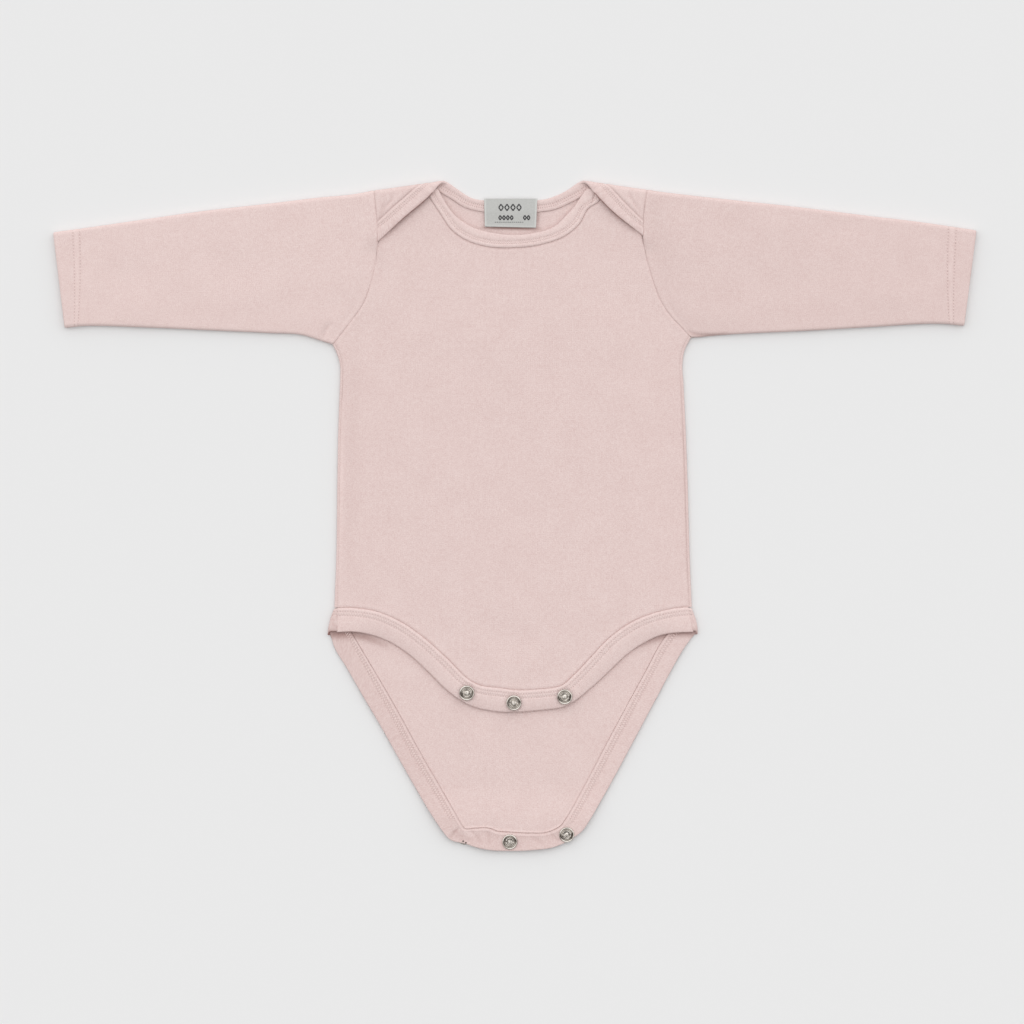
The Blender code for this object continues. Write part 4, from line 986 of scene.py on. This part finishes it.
def binding_relief(away, rows, phase, width, snaps=(), plan=None):
    """Rise of a binding's faces: stitches, a swell between them and the rolled edge, small
    puckers along the seam, and a dent under each of SNAPS."""
    swell = BINDING_SWELL * np.sin(math.pi * np.clip((away - rows[-1]) / (width - rows[-1]), 0, 1))
    pucker = (PUCKER * np.cos(phase * 0.83) * np.cos(phase * 0.31 + 1.0)
              * np.exp(-((away - 3.0) / 3.0) ** 2))
    rise = stitched(away, rows, phase) + swell + pucker
    for snap in snaps:
        gap = np.linalg.norm(plan - np.array(snap), axis=1)
        rise = rise - SNAP_DENT * (1 - ease((gap - SNAP_DENT_REACH) / SNAP_DENT_SOFT))
    return rise


def strip_grid(sections, rows, plain, under_rows, place):
    """Points of a binding's outer face along SECTIONS of seam and edge, a row for each, and
    their distances from the seam. PLACE takes plan points and depths into the garment."""
    plans, depths, aways = [], [], []
    for seam, edge in zip(sections[:, :2], sections[:, 2:]):
        width = np.linalg.norm(edge - seam)
        away, depth = profile(width, rows, plain, under_rows)
        plans.append(seam + (edge - seam) * (away / width)[:, None])
        depths.append(depth)
        aways.append(away)
    plans, depths, aways = np.array(plans), np.array(depths), np.array(aways)
    return place(plans.reshape(-1, 2), depths.ravel()).reshape(*aways.shape, 3), aways


def bind(node, grid, away, rows, flip, snaps=(), crossed=(), folds=(),
         edge=0.0, tight=1.0, dull=0.0, seam=SEAM_SHADE):
    """A binding from the GRID of its outer face and the distances AWAY from its seam, with the
    thread along ROWS on each of its faces, 0 the outer and 1 the inner; CROSSED faces also
    show the thread that joins the two rows. FOLDS crease what faces up and paint shade in it.
    For all of it or for each section, EDGE paints shade on the rolled edge, TIGHT is how
    plainly its stitches show, PAINTED_SHADE paints shade on all of the cloth or, with a minus,
    light, and SEAM paints shade along its seam."""
    count, columns = away.shape
    index = np.arange(count * columns).reshape(count, columns)
    points, from_seam = grid.reshape(-1, 3), away.ravel()
    across = lengths(grid[count // 2])
    flat = np.stack([np.tile(across, count), np.repeat(lengths(grid[:, 0]), columns)], axis=1)
    phase = np.repeat(np.arange(count), columns)
    width = np.repeat(away.max(axis=1), columns)
    plan = points[:, :2]
    stitched_on = (np.broadcast_to(tight, count) >= 0.5)[::LOOP_COLUMNS]
    edge, tight, dull, seam = (np.repeat(np.broadcast_to(value, count), columns)
                               for value in (edge, tight, dull, seam))
    relief = binding_relief(from_seam, rows, phase, width, snaps, plan) * tight
    showing = np.tile(np.isin(np.arange(columns) // ((columns + 1) // 2), crossed), count)
    painted_shading = (needle_shade(from_seam, rows, phase, showing) * tight
             - BINDING_PALE * np.exp(-((from_seam - BINDING_PALE_PLACE) / BINDING_PALE_WIDTH) ** 2)
             + edge * np.exp(-((width - from_seam) / EDGE_SHADE) ** 2))
    piece, final, facing = cloth(f"jersey_{node}", points, weave(index, flip=flip), flat, from_seam,
                                 creased(plan, folds), 0.0, relief, painted_shading + dull,
                                 creased(plan, folds, "dull"), seam)
    seams, crossings = [], []
    for face, half in ((0, slice(0, columns // 2)), (1, slice(columns // 2, columns))):
        stitch_columns = [column for column in range(half.start, half.stop)
                          if any(np.isclose(away[0, column], row) for row in rows)]
        for column in stitch_columns:
            row = row_of_stitches(final[index[:, column]], facing[index[:, column]])
            seams.append([part[stitched_on[:len(part)]] for part in row])
        if face in crossed:
            first, second = (index[::LOOP_COLUMNS, column][stitched_on]
                             for column in stitch_columns)
            crossings.append((final[first], final[second], facing[first] + facing[second]))
    threads = [sew(f"thread_{node}", seams)]
    if crossings:
        threads.append(sew(f"thread_{node}_loopers", crossings, CROSS_RADIUS))
    dress(piece, "jersey", node)
    return piece


def along_binding(line, pitch, start=0.0, end=1.0):
    """Sections of a binding's LINE at its needle holes and twice between each two of them."""
    count = LOOP_COLUMNS * round(lengths(line)[-1] * (end - start) / pitch)
    return placed(line, np.linspace(start, end, count + 1))


def on_front(plan, depth):
    """Place of a binding on the front, DEPTH below its outer face."""
    return np.column_stack([plan, front_height(plan) + BINDING_PROUD - depth])


sections = along_binding(neck_sections(), NECK_PITCH)
grid, away = strip_grid(sections, NECK_ROWS, NECK_FLAT, NECK_ROWS, folded)
# The laps' free edges stand off the front, most next to the neck
on_lap = ease(grid[:, 0, 2] - LAP_LEVEL)
run = lengths(grid[:, 0])
lap_lift = LAP_LIFT * on_lap * ease(np.minimum(run, run[-1] - run) / LAP_LIFT_START)
grid[:, :, 2] += lap_lift[:, None] * away / away.max(axis=1)[:, None]
# Shade is painted on the laps' rolled edges, most where they stand off the front, and along the
# seams on the laps
neck_binding_back = bind("neck_binding_back", grid, away, NECK_ROWS, flip=False,
                         edge=0.25 * on_lap + 0.75 * lap_lift / LAP_LIFT, seam=0.08 + 0.16 * on_lap)

sections = along_binding(curve(NECK_FRONT), NECK_PITCH)
grid, away = strip_grid(sections, NECK_ROWS, NECK_FLAT, (), on_front)
# Shade is painted on its rolled edge and where its ends lie under the laps; light on all of it
bind("neck_binding_front", grid, away, NECK_ROWS, flip=True,
     crossed=(0,), folds=TAB_FOLDS, edge=0.3, dull=-NECK_PALE, seam=0.06)

# --- Leg bindings ---------------------------------------------------------------------
# Wider folded strips round the leg openings and the crotch, which carry the snaps. The
# back one wraps both hips and meets the front one at the side seams.
HIP_HEIGHT = 3.4    # front leg binding where the back one folds round to meet it
LEG_PITCH = 2.2
LEG_ROWS = (2.1, 4.7)
LEG_FLAT = 8
LEG_PALE = 0.1      # light painted on the front one, which makes it a little paler
LEG_SIDE_SHADE = 0.05   # shade painted on the back binding where it lies on its side
LEG_DROOP = 1.8     # how far the front binding's free edge hangs down on the flap
DROOP_START = 34.0  # over what length from each hip it comes to hang
HIP_SHADE = 22.0    # how far from a hip its rolled edge looks darker
LEG_CURL = 0.9      # how far the flap's free edges curl up from the floor
CURL_START = 30.0   # over what length from each hip they come to curl
SNAP_HOLD = 7.5     # how far round a snap an edge neither hangs nor curls in full
HIP_STEPS = 9       # round a hip, three stitches' worth
HIP_TUCK = 2.2      # how far its edge is pulled up where it meets the front binding
HIP_PROUD = 0.12    # and how much higher it lies there
FOOT_START = -176.0     # at the flap's foot the stitches sink out of sight, from the one line
FOOT_END = -184.0       # to the other

# Where the back leg binding folds round the hips, from its seam to its edge, and how far it
# runs on over the front before it meets the front binding
HipSection = namedtuple("HipSection", "x y lap")
HIP_LEFT = records(HipSection, [
    (-108.3, -55.2, 0.5), (-110.1, -59.5, 2.1), (-111.3, -64.3, 3.2), (-112.5, -71.4, 4.5)])
HIP_RIGHT = records(HipSection, [
    (105.9, -54.9, 0.6), (107.7, -59.5, 1.5), (108.9, -64.3, 1.8), (109.6, -70.9, 1.5)])

SNAP_FRONT = {
    "left": Point(-28.9, -105.9), "middle": Point(-0.7, -111.8), "right": Point(29.8, -108.2)}
SNAP_BACK = {
    "left": Point(-30.4, -192.5), "middle": Point(-3.1, -195.2), "right": Point(31.0, -190.9)}


def on_flap(plan, depth):
    """Place of the back leg binding, DEPTH above its outer face, which lies below."""
    return np.column_stack([plan, foot_height(plan[:, 1]) + depth])


def hip_grid(table, turn):
    """Rows of a binding's outer face round a hip, from its end on the front to the underside."""
    radius = HIP_HEIGHT / 2
    line = curve(table)
    width = lengths(line[:, :2])[-1]
    away, depth = profile(width, LEG_ROWS, LEG_FLAT, LEG_ROWS)
    x, y, lap = placed(line, away / width).T
    tuck = HIP_TUCK * (away / width) ** 2
    lines = [np.stack([x - turn * (radius + lap), y + tuck, HIP_HEIGHT + HIP_PROUD - depth],
                      axis=1)]
    for angle in np.linspace(math.pi, 0, HIP_STEPS + 1):
        reach = radius - depth
        pulled = tuck * ease((angle / math.pi - 0.5) * 2)
        lines.append(np.stack([x - turn * (radius - reach * math.sin(angle)), y + pulled,
                               radius - reach * math.cos(angle)], axis=1))
    return np.array(lines), np.tile(away, (len(lines), 1))


def bent_edge(grid, away, bend, start, power, snaps, hold):
    """How far a binding's free edge leaves its plane: by BEND, coming on over a length START
    from each end, with POWER for how late it bends, and HOLD for how well each snap holds it."""
    run = lengths(grid[:, 0])
    bent = bend * ease(np.minimum(run, run[-1] - run) / start)[:, None]
    bent = bent * (away / away.max(axis=1)[:, None]) ** power
    for snap in snaps:
        gap = np.linalg.norm(grid[:, :, :2] - np.array(snap), axis=2)
        bent *= 1 - hold * np.exp(-(gap / SNAP_HOLD) ** 2)
    return bent


# Puckers of the flap's foot round its snaps, and the slanted join at its left corner, with
# shade painted in them and light on one ridge; the last two paint the shadow of the front
# binding's ends at the hips
FOOT_FOLDS = records(Crease, [
    (-0.30, 1.1, ((-27.5, -187.6), (-24, -191), (-20.5, -196.5)), 0.14),
    (-0.25, 1.2, ((-17.5, -187.6), (-15.5, -191.5), (-16, -198)), 0.10),
    (-0.30, 0.8, ((-33.0, -186.2), (-36.2, -189.2), (-39.0, -193.5)), 0.22),
    (-0.10, 2.2, ((-40, -188), (-33, -192), (-24, -193)), 0.12),
    (0.10, 1.6, ((-31, -188), (-28.0, -190.5), (-22.0, -189.5)), -0.15),
    (-0.15, 1.4, ((10.0, -190.5), (13, -194), (18.0, -197.5)), 0.08),
    (-0.20, 1.0, ((20.5, -189.6), (24.0, -192.5), (26.5, -195.0)), 0.12),
    (0.0, 2.6, ((-120.0, -71.6), (-106.0, -70.6), (-90.0, -71.2)), 0.6),
    (0.0, 2.2, ((86.0, -71.4), (101, -70), (116.0, -70.4)), 0.55)])

sections = along_binding(curve(LEG_FRONT), LEG_PITCH)
grid, away = strip_grid(sections, LEG_ROWS, LEG_FLAT, (), on_front)
run = lengths(grid[:, 0])
# Shade is painted on its rolled edge, most next to the hips, and light on all of it
hip_edge = 0.3 + 0.5 * np.exp(-(np.minimum(run, run[-1] - run) / HIP_SHADE) ** 2)
grid[:, :, 2] -= bent_edge(grid, away, LEG_DROOP, DROOP_START, 1.6, SNAP_FRONT.values(), 0.8)
bind("leg_binding_front", grid, away, LEG_ROWS, flip=False, snaps=SNAP_FRONT.values(),
     crossed=(0,), edge=hip_edge, dull=-LEG_PALE)

flat_line = join(curve(LEG_BACK_LEFT), curve(LEG_BACK_FOOT), curve(LEG_BACK_RIGHT))
sections = along_binding(flat_line, LEG_PITCH, 0.006, 0.994)
grid, away = strip_grid(sections, LEG_ROWS, LEG_FLAT, LEG_ROWS, on_flap)
grid[:, :, 2] += bent_edge(grid, away, LEG_CURL, CURL_START, 2, SNAP_BACK.values(), 0.9)
hip_left, away_left = hip_grid(HIP_LEFT, -1)
hip_right, away_right = hip_grid(HIP_RIGHT, 1)
grid = np.concatenate([hip_left, grid, hip_right[::-1]])
away = np.concatenate([away_left, away, away_right])
x, y, height = grid[:, 0].T
foot_tight = 0.15 + 0.85 * ease((y - FOOT_END) / (FOOT_START - FOOT_END))
# Round a hip its edge is shaded, most on the left; at the foot it catches the light
hip_edge = np.where(x < 0, 0.5, 0.15) * ease((height - 1.0) / 2.4) - 0.15 * ease((-180.0 - y) / 5.0)
# Shade is painted on the back binding where it lies on its side, most at the foot and on the left,
# and along its seam at the foot
side_shade = LEG_SIDE_SHADE * np.where(y < FOOT_END, 2.0, np.where(x < 0, 1.8, 0.6))
bind("leg_binding_back", grid, away, LEG_ROWS, flip=True, snaps=SNAP_BACK.values(), crossed=(1,),
     folds=FOOT_FOLDS, edge=hip_edge, tight=foot_tight, dull=side_shade,
     seam=0.03 + 0.15 * ease((-178.0 - y) / 6.0))

# --- Label ----------------------------------------------------------------------------
# A folded strip of woven polyester satin, sewn on the back neck binding, its loop hanging
# over the back. It shows a small woven ornament of lozenges and dashes.
LABEL_WALL = 0.3
LABEL_THICK = 0.9   # through both layers
LABEL_CELL = 0.6
LABEL_ON_BINDING = 2.75     # upper face where it lies over the binding
LABEL_ON_BACK = 2.3         # and at its fold, over the back panel
LABEL_FALL = (183.5, 176.0)     # from and to where it comes down
LABEL_TOP = (Point(-18.5, 190.4), Point(13.4, 190.4))
LABEL_BOTTOM = (Point(-18.1, 173.6), Point(12.6, 172.9))
LABEL_RIM = 0.6     # how pale its cut sides and its fold are, and how far in from them
LABEL_RIM_PLACE = 0.6
LABEL_RIM_WIDTH = 0.4
PICK = 0.6          # between two of its weft threads; real ones are about 0.25
PICK_DEPTH = 0.08
SATIN_DARK = "AFAFAC"
SATIN_LIGHT = "D9D9D5"
SATIN_RIM = "D9DAD6"
SATIN_SHADED = "54504C"     # under its fold

satin, tree, surface = new_material("woven polyester satin")
# Fine weft lines and a low, silky sheen; its knit attribute's depth is how pale it is or,
# with a minus, how deep in the shade
place = add_node(tree, "ShaderNodeAttribute", attribute_name="knit").outputs["Vector"]
pale = add_node(tree, "ShaderNodeSeparateXYZ", {"Vector": place}).outputs["Z"]
picks = add_node(tree, "ShaderNodeTexWave", {
    "Vector": place, "Scale": WAVE_TURN / PICK, "Distortion": 0.8, "Detail": 1.0},
    bands_direction="Y")
flecks = add_node(tree, "ShaderNodeTexNoise", {"Vector": place, "Scale": 1.1, "Detail": 3.0})
tone = add_node(tree, "ShaderNodeMath", {0: picks.outputs["Fac"], 1: flecks.outputs["Fac"]},
                operation="MULTIPLY")
grey = add_node(tree, "ShaderNodeValToRGB", {"Fac": tone.outputs[0]})
for end, shade in zip(grey.color_ramp.elements, (SATIN_DARK, SATIN_LIGHT)):
    end.color = linear(shade)
paler = add_node(tree, "ShaderNodeMix", {
    0: pale, 6: grey.outputs["Color"], 7: linear(SATIN_RIM)}, data_type="RGBA")
under = add_node(tree, "ShaderNodeMath", {0: pale, 1: -1.0}, operation="MULTIPLY")
fold_shaded = add_node(tree, "ShaderNodeMix", {
    0: under.outputs[0], 6: paler.outputs[2], 7: linear(SATIN_SHADED)}, data_type="RGBA")
bump = add_node(tree, "ShaderNodeBump", {
    "Height": picks.outputs["Fac"], "Strength": 0.4, "Distance": PICK_DEPTH * MM})
floats = add_node(tree, "ShaderNodeBsdfPrincipled", {
    "Base Color": fold_shaded.outputs[2], "Roughness": 0.5, "Sheen Weight": 0.15,
    "Specular IOR Level": 0.5, "Normal": bump.outputs["Normal"]})
tree.links.new(floats.outputs["BSDF"], surface)


def label_level(plan):
    """Upper face of the label at plan points, without its waves."""
    fall = ease((LABEL_FALL[0] - plan[:, 1]) / (LABEL_FALL[0] - LABEL_FALL[1]))
    return LABEL_ON_BINDING + (LABEL_ON_BACK - LABEL_ON_BINDING) * fall


def label_waves(plan):
    """How far the label's faces rise and fall at plan points."""
    return 0.12 * uneven(plan, size=7.0, seed=8)


radius = LABEL_THICK / 2
label_width = LABEL_TOP[1].x - LABEL_TOP[0].x
length = LABEL_TOP[0].y - LABEL_BOTTOM[0].y
shares = np.linspace(0.0, 1.0, round(label_width / LABEL_CELL) + 1)
top_line, bottom_line = ((1 - shares[:, None]) * np.array(start) + shares[:, None] * np.array(end)
                         for start, end in (LABEL_TOP, LABEL_BOTTOM))
face_stops = np.linspace(0.0, length - radius, round(length / LABEL_CELL))
turns = np.linspace(0, math.pi, 7)[1:-1]
run = np.concatenate([face_stops, length - radius + radius * np.sin(turns), face_stops[::-1]])
depth = np.concatenate([np.zeros(len(face_stops)), radius * (1 - np.cos(turns)),
                        np.full(len(face_stops), LABEL_THICK)])
grid = []
for down, below in zip(run, depth):
    plan = top_line + (bottom_line - top_line) * (down / length)
    grid.append(np.column_stack([plan, label_level(plan) - below]))
grid = np.array(grid)
index = np.arange(grid.shape[0] * grid.shape[1]).reshape(grid.shape[:2])
points = grid.reshape(-1, 3)
flat = np.stack([points[:, 0], np.repeat(lengths(grid[:, 0]), len(shares))], axis=1)
from_side = np.tile(np.minimum(shares, 1 - shares) * label_width, len(run))
from_rim = np.minimum(from_side, np.repeat(length - run, len(shares)))
# Its cut sides and fold are drawn paler, and shade is painted under its fold
under_fold = np.repeat((depth > radius) & (run > length - 2 * radius), len(shares))
painted_shading = LABEL_RIM * np.exp(-((from_rim - LABEL_RIM_PLACE) / LABEL_RIM_WIDTH) ** 2) - under_fold
waves = label_waves(points[:, :2])
far_from_seams = np.full(len(points), 99.0)
label, _, _ = cloth("satin_label", points, weave(index, flip=True), flat, far_from_seams, waves,
                    waves, painted_shading=painted_shading, wall=LABEL_WALL, material=satin)
dress(label, "label", "label")

# The ornament: closed lozenges in two rows, then a line of dashes
Lozenge = namedtuple("Lozenge", "x y half_width half_height")
LOZENGES = [Lozenge(x, 185.15, 1.35, 1.95) for x in (-8.4, -4.8, -1.2, 2.4)]
LOZENGES += [Lozenge(x, 179.0, 0.85, 1.35) for x in (-8.9, -6.6, -4.3, -2.0, 5.9, 8.1)]
DASHES = [Point(-12.0 + 1.25 * step, 176.3) for step in range(14)]
ORNAMENT_LINE = 0.7     # width of a woven line
ORNAMENT_DASH = Point(0.75, 0.32)
ORNAMENT_PROUD = 0.1    # above the satin

# Matt and nearly black, as its dull weft floats over the satin
ink, tree, surface = new_material("dark grey polyester weft")
yarn = add_node(tree, "ShaderNodeBsdfPrincipled", {
    "Base Color": linear("403F41"), "Roughness": 0.6, "Specular IOR Level": 0.4})
tree.links.new(yarn.outputs["BSDF"], surface)

bars = []
for lozenge in LOZENGES:
    angles = np.arange(5) * math.pi / 2
    tips = np.stack([lozenge.x + lozenge.half_width * np.cos(angles),
                     lozenge.y + lozenge.half_height * np.sin(angles)], axis=1)
    bars += [(start, end, ORNAMENT_LINE) for start, end in zip(tips, tips[1:])]
bars += [(np.array(dash), np.array(dash) + (ORNAMENT_DASH.x, 0.0), ORNAMENT_DASH.y)
         for dash in DASHES]
corners = []
for start, end, width in bars:
    side = moved_left(np.array([start, end]), width / 2) - np.array([start, end])
    plan = np.array([start - side[0], end - side[1], end + side[1], start + side[0]])
    level = label_level(plan) + label_waves(plan)
    corners += [np.column_stack([plan, level + rise]) for rise in (-ORNAMENT_PROUD, ORNAMENT_PROUD)]
box = np.array([(3, 2, 1, 0), (4, 5, 6, 7), (0, 1, 5, 4), (1, 2, 6, 5), (2, 3, 7, 6), (3, 0, 4, 7)])
faces = np.concatenate([box + 8 * number for number in range(len(bars))])
ornament = new_object("thread_label", np.concatenate(corners), faces.tolist(), ink)
dress(ornament, "label")

# --- Snaps ----------------------------------------------------------------------------
# Prong ring snaps of stamped brass, nickel plated: on each binding three, pressed through
# both of its layers, a stud or socket on one face and the prong ring on the other.
SNAP_SEGMENTS = 64
# A part's outline from the rim inwards: how dark it is painted, with tarnish and with the
# shade in its grooves, and how high its lobes are
SnapStep = namedtuple("SnapStep", "radius height dark lobes", defaults=(0,))
SNAP_RIM = records(SnapStep, [
    (4.35, 0.0, 0.6), (4.58, 0.18, 0.35), (4.55, 0.45, 0.2), (4.42, 0.76, 0), (4.22, 0.87, 0),
    (3.98, 0.89, 0), (3.75, 0.84, 0.1), (3.52, 0.60, 0.35), (3.38, 0.25, 0.5), (3.20, 0.10, 0.45),
    (2.95, 0.10, 0.35)])
SNAP_STUD = SNAP_RIM + records(SnapStep, [
    (2.78, 0.35, 0.45, 0.1), (2.62, 0.75, 0.25, 0.12), (2.40, 0.95, 0.15, 0.12),
    (2.15, 0.90, 0.25, 0.1), (1.95, 0.55, 0.4), (1.80, 0.40, 0.4), (1.62, 0.55, 0.3),
    (1.45, 0.90, 0.2), (1.20, 1.05, 0.15), (0.80, 1.12, 0.3), (0.40, 1.14, 0.4), (0.05, 1.14, 0.4)])
SNAP_SOCKET = SNAP_RIM + records(SnapStep, [
    (2.80, 0.40, 0.45), (2.66, 0.85, 0.3, 0.15), (2.40, 1.05, 0.2, 0.2), (2.10, 1.00, 0.2, 0.2),
    (1.85, 0.70, 0.35, 0.1), (1.70, 0.35, 0.5), (1.55, 0.20, 0.55), (1.20, 0.18, 0.4),
    (0.90, 0.35, 0.3), (0.55, 0.45, 0.3), (0.20, 0.42, 0.4), (0.05, 0.40, 0.45)])
SNAP_LOBES = 8
# Painted reflections on a rim, dark crescents and, with a minus, bright patches: angle,
# half width and how dark
PaintedReflection = namedtuple("PaintedReflection", "angle spread dark")
SNAP_REFLECTIONS = records(PaintedReflection, [
    (0.0, 0.34, 1.2), (3.2, 0.55, 1.2), (5.6, 0.25, 0.5), (4.5, 0.5, -0.4), (1.1, 0.4, -0.3)])
SNAP_REFLECTION_RADIUS = 3.75
SNAP_REFLECTION_WIDTH = 0.4
SNAP_SMUDGE = 0.34  # how strongly its plating is tarnished here and there
SNAP_SUNK = 0.2     # how far a stud or socket is pressed into the cloth below its solid
BASE_STEPS = records(SnapStep, [
    (1.90, 0.30, 0.8), (1.95, 0.10, 0.3), (2.20, 0.0, 0), (2.60, 0.08, 0), (3.10, 0.22, 0.5),
    (3.60, 0.10, 0), (4.05, 0.0, 0), (4.40, 0.12, 0), (4.55, 0.40, 0), (4.50, 0.80, 0),
    (4.20, 1.05, 0.1), (3.0, 1.05, 1), (2.05, 1.05, 1), (1.90, 0.80, 1)])
# Where the stud is missing, the tips of two prongs of its ring show in the cloth
PRONG_TIPS = (Point(-31.1, -194.8), Point(-29.4, -195.7))
PRONG_STEPS = records(SnapStep, [
    (0.45, 0.0, 0.9), (0.5, 0.35, 0.9), (0.4, 0.5, 0.8), (0.2, 0.45, 1), (0.05, 0.4, 1)])
PRONG_HEIGHT = 2.75
PLATING_DARK = "B2AAA1"
PLATING_LIGHT = "EDE8E1"
# Tarnish, and the painted shade and reflections, mix towards this
TARNISH_AND_SHADE = "453A32"

nickel, tree, surface = new_material("nickel-plated brass, stamped")
# Bright and warm grey, with soft smudges, and darker where its attribute says so: tarnish,
# painted shade in its grooves and painted reflections on its rim
stamping_shade = add_node(tree, "ShaderNodeAttribute", attribute_name="stamping").outputs["Vector"]
dark = add_node(tree, "ShaderNodeSeparateXYZ", {"Vector": stamping_shade}).outputs["Z"]
smudges = add_node(tree, "ShaderNodeTexNoise", {"Vector": stamping_shade, "Scale": 1.2, "Detail": 4.0})
plating = add_node(tree, "ShaderNodeValToRGB", {"Fac": smudges.outputs["Fac"]})
for end, shade in zip(plating.color_ramp.elements, (PLATING_DARK, PLATING_LIGHT)):
    end.color = linear(shade)
tarnish_and_shade = add_node(tree, "ShaderNodeMix", {
    0: dark, 6: plating.outputs["Color"], 7: linear(TARNISH_AND_SHADE)}, data_type="RGBA")
gloss = add_node(tree, "ShaderNodeMapRange", {
    "Value": smudges.outputs["Fac"], "To Min": 0.16, "To Max": 0.34})
metal = add_node(tree, "ShaderNodeBsdfPrincipled", {
    "Base Color": tarnish_and_shade.outputs[2], "Metallic": 1.0, "Roughness": gloss.outputs[0]})
tree.links.new(metal.outputs["BSDF"], surface)


def stamped(name, steps, place, height, turn, *nodes):
    """A snap's part turned through STEPS, its lobes starting at TURN; a last ring near the
    middle closes it, and otherwise it is a ring about its own hole."""
    angles = np.arange(SNAP_SEGMENTS) * 2 * math.pi / SNAP_SEGMENTS
    sway = 0.15 * math.sin(3.1 * turn)
    # Painted reflections round the rim: dark crescents and bright patches
    painted_shading = sum(
        reflection.dark * np.exp(-((1 - np.cos(angles - reflection.angle - sway)) * 2 / reflection.spread ** 2))
        for reflection in SNAP_REFLECTIONS)
    rings, stamping_shades = [], []
    for step in steps:
        on_rim = math.exp(-((step.radius - SNAP_REFLECTION_RADIUS) / SNAP_REFLECTION_WIDTH) ** 2)
        smudge = (np.cos(angles + 1.9 * step.radius + 5 * turn)
                  * np.cos(2 * angles - step.radius + 3 * turn))
        dark = step.dark + painted_shading * on_rim + SNAP_SMUDGE * smudge
        lobes = step.lobes * np.cos(SNAP_LOBES * angles + turn)
        rings.append(np.stack([
            place.x + step.radius * np.cos(angles), place.y + step.radius * np.sin(angles),
            height + step.height + lobes], axis=1))
        stamping_shades.append(np.stack([
            step.radius * np.cos(angles + turn), step.radius * np.sin(angles + turn),
            np.clip(dark, 0.0, 1.0)], axis=1))
    index = np.arange(len(steps) * SNAP_SEGMENTS).reshape(len(steps), SNAP_SEGMENTS)
    if steps[-1].radius < 0.1:
        faces = weave(index, ring=True, flip=True).tolist()
        faces += [index[-1].tolist(), index[0][::-1].tolist()]
    else:
        faces = weave(np.concatenate([index, index[:1]]), ring=True).tolist()
    item = new_object(name, np.concatenate(rings), faces, nickel, stamping=np.concatenate(stamping_shades))
    dress(item, "snap", *nodes)


for places, side, steps in ((SNAP_FRONT, "front", SNAP_STUD), (SNAP_BACK, "back", SNAP_SOCKET)):
    for number, (where, place) in enumerate(places.items()):
        node = f"snap_{side}_{where}"
        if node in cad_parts:
            stamped(f"nickel_{node}", steps, place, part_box(node)[0].z / MM - SNAP_SUNK,
                    0.7 + 1.9 * number, node)
        stamped(f"nickel_{node}_ring", BASE_STEPS, place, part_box(f"{node}_base")[0].z / MM, number,
                f"{node}_base")

for number, place in enumerate(PRONG_TIPS):
    stamped(f"nickel_prong_tip_{number}", PRONG_STEPS, place, PRONG_HEIGHT, number)

# --- Floor, light and camera ----------------------------------------------------------
# A pale matt table top under a broad soft light from beyond the neck, seen from straight
# above through a long lens.
VIEW_WIDTH = 614.4
VIEW_CENTRE = Point(-1.8, 2.55)
CAMERA_HEIGHT = 3000.0
SENSOR = 36.0
FLOOR_REACH = 3000.0
FLOOR_DROP = 0.1    # below the garment, so that the two do not touch
WALL_GLOW = 0.31    # light from the white walls all round
SKY_LEAN = (0.0, 0.634, 0.756)  # the way up to the strip of light, as long as it is bright

# Even and matt, so that it shows nothing but the garment's soft shadow
paper, tree, surface = new_material("pale grey paper, matt")
matt = add_node(tree, "ShaderNodeBsdfPrincipled", {
    "Base Color": linear("E6E6E6"), "Roughness": 0.95, "Specular IOR Level": 0.1})
tree.links.new(matt.outputs["BSDF"], surface)
corners = np.array([(-1, -1), (1, -1), (1, 1), (-1, 1)]) * FLOOR_REACH
floor = new_object("floor", np.column_stack([corners, np.full(4, -FLOOR_DROP)]), [(0, 1, 2, 3)],
                   paper)
floor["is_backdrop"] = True

# A long strip of soft boxes, from side to side, leans in from beyond the neck, so that
# little light comes from the feet's side
world = bpy.data.worlds.new("soft studio")
world.use_nodes = True
sky = world.node_tree
toward = add_node(sky, "ShaderNodeTexCoord").outputs["Generated"]
across_strip = add_node(sky, "ShaderNodeVectorMath", {0: toward, 1: (0.0, 1.0, 1.0)},
                        operation="MULTIPLY")
across_strip = add_node(sky, "ShaderNodeVectorMath", {0: across_strip.outputs[0]},
                        operation="NORMALIZE")
lean = add_node(sky, "ShaderNodeVectorMath", {0: across_strip.outputs[0], 1: SKY_LEAN},
                operation="DOT_PRODUCT")
glow = add_node(sky, "ShaderNodeMath", {0: lean.outputs["Value"], 1: 0.0}, operation="MAXIMUM")
glow = add_node(sky, "ShaderNodeMath", {0: glow.outputs[0], 1: WALL_GLOW}, operation="ADD")
sky.links.new(glow.outputs[0], sky.nodes["Background"].inputs["Strength"])
sky.nodes["Background"].inputs["Color"].default_value = (1.0, 1.0, 1.0, 1.0)
bpy.context.scene.world = world

lamp = bpy.data.lights.new("overhead", "SUN")
lamp.energy = 0.33
lamp.angle = math.radians(50)
sun = bpy.data.objects.new("overhead", lamp)
sun.rotation_euler = (math.radians(-10), 0.0, math.radians(14))
bpy.context.collection.objects.link(sun)
sun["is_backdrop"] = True

lens = bpy.data.cameras.new("camera")
lens.sensor_width = SENSOR
lens.lens = SENSOR * CAMERA_HEIGHT / VIEW_WIDTH
lens.clip_end = 20.0
camera = bpy.data.objects.new("camera", lens)
camera.location = (VIEW_CENTRE.x * MM, VIEW_CENTRE.y * MM, CAMERA_HEIGHT * MM)
bpy.context.collection.objects.link(camera)
bpy.context.scene.camera = camera
bpy.context.scene.view_settings.view_transform = "Standard"

low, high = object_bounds()
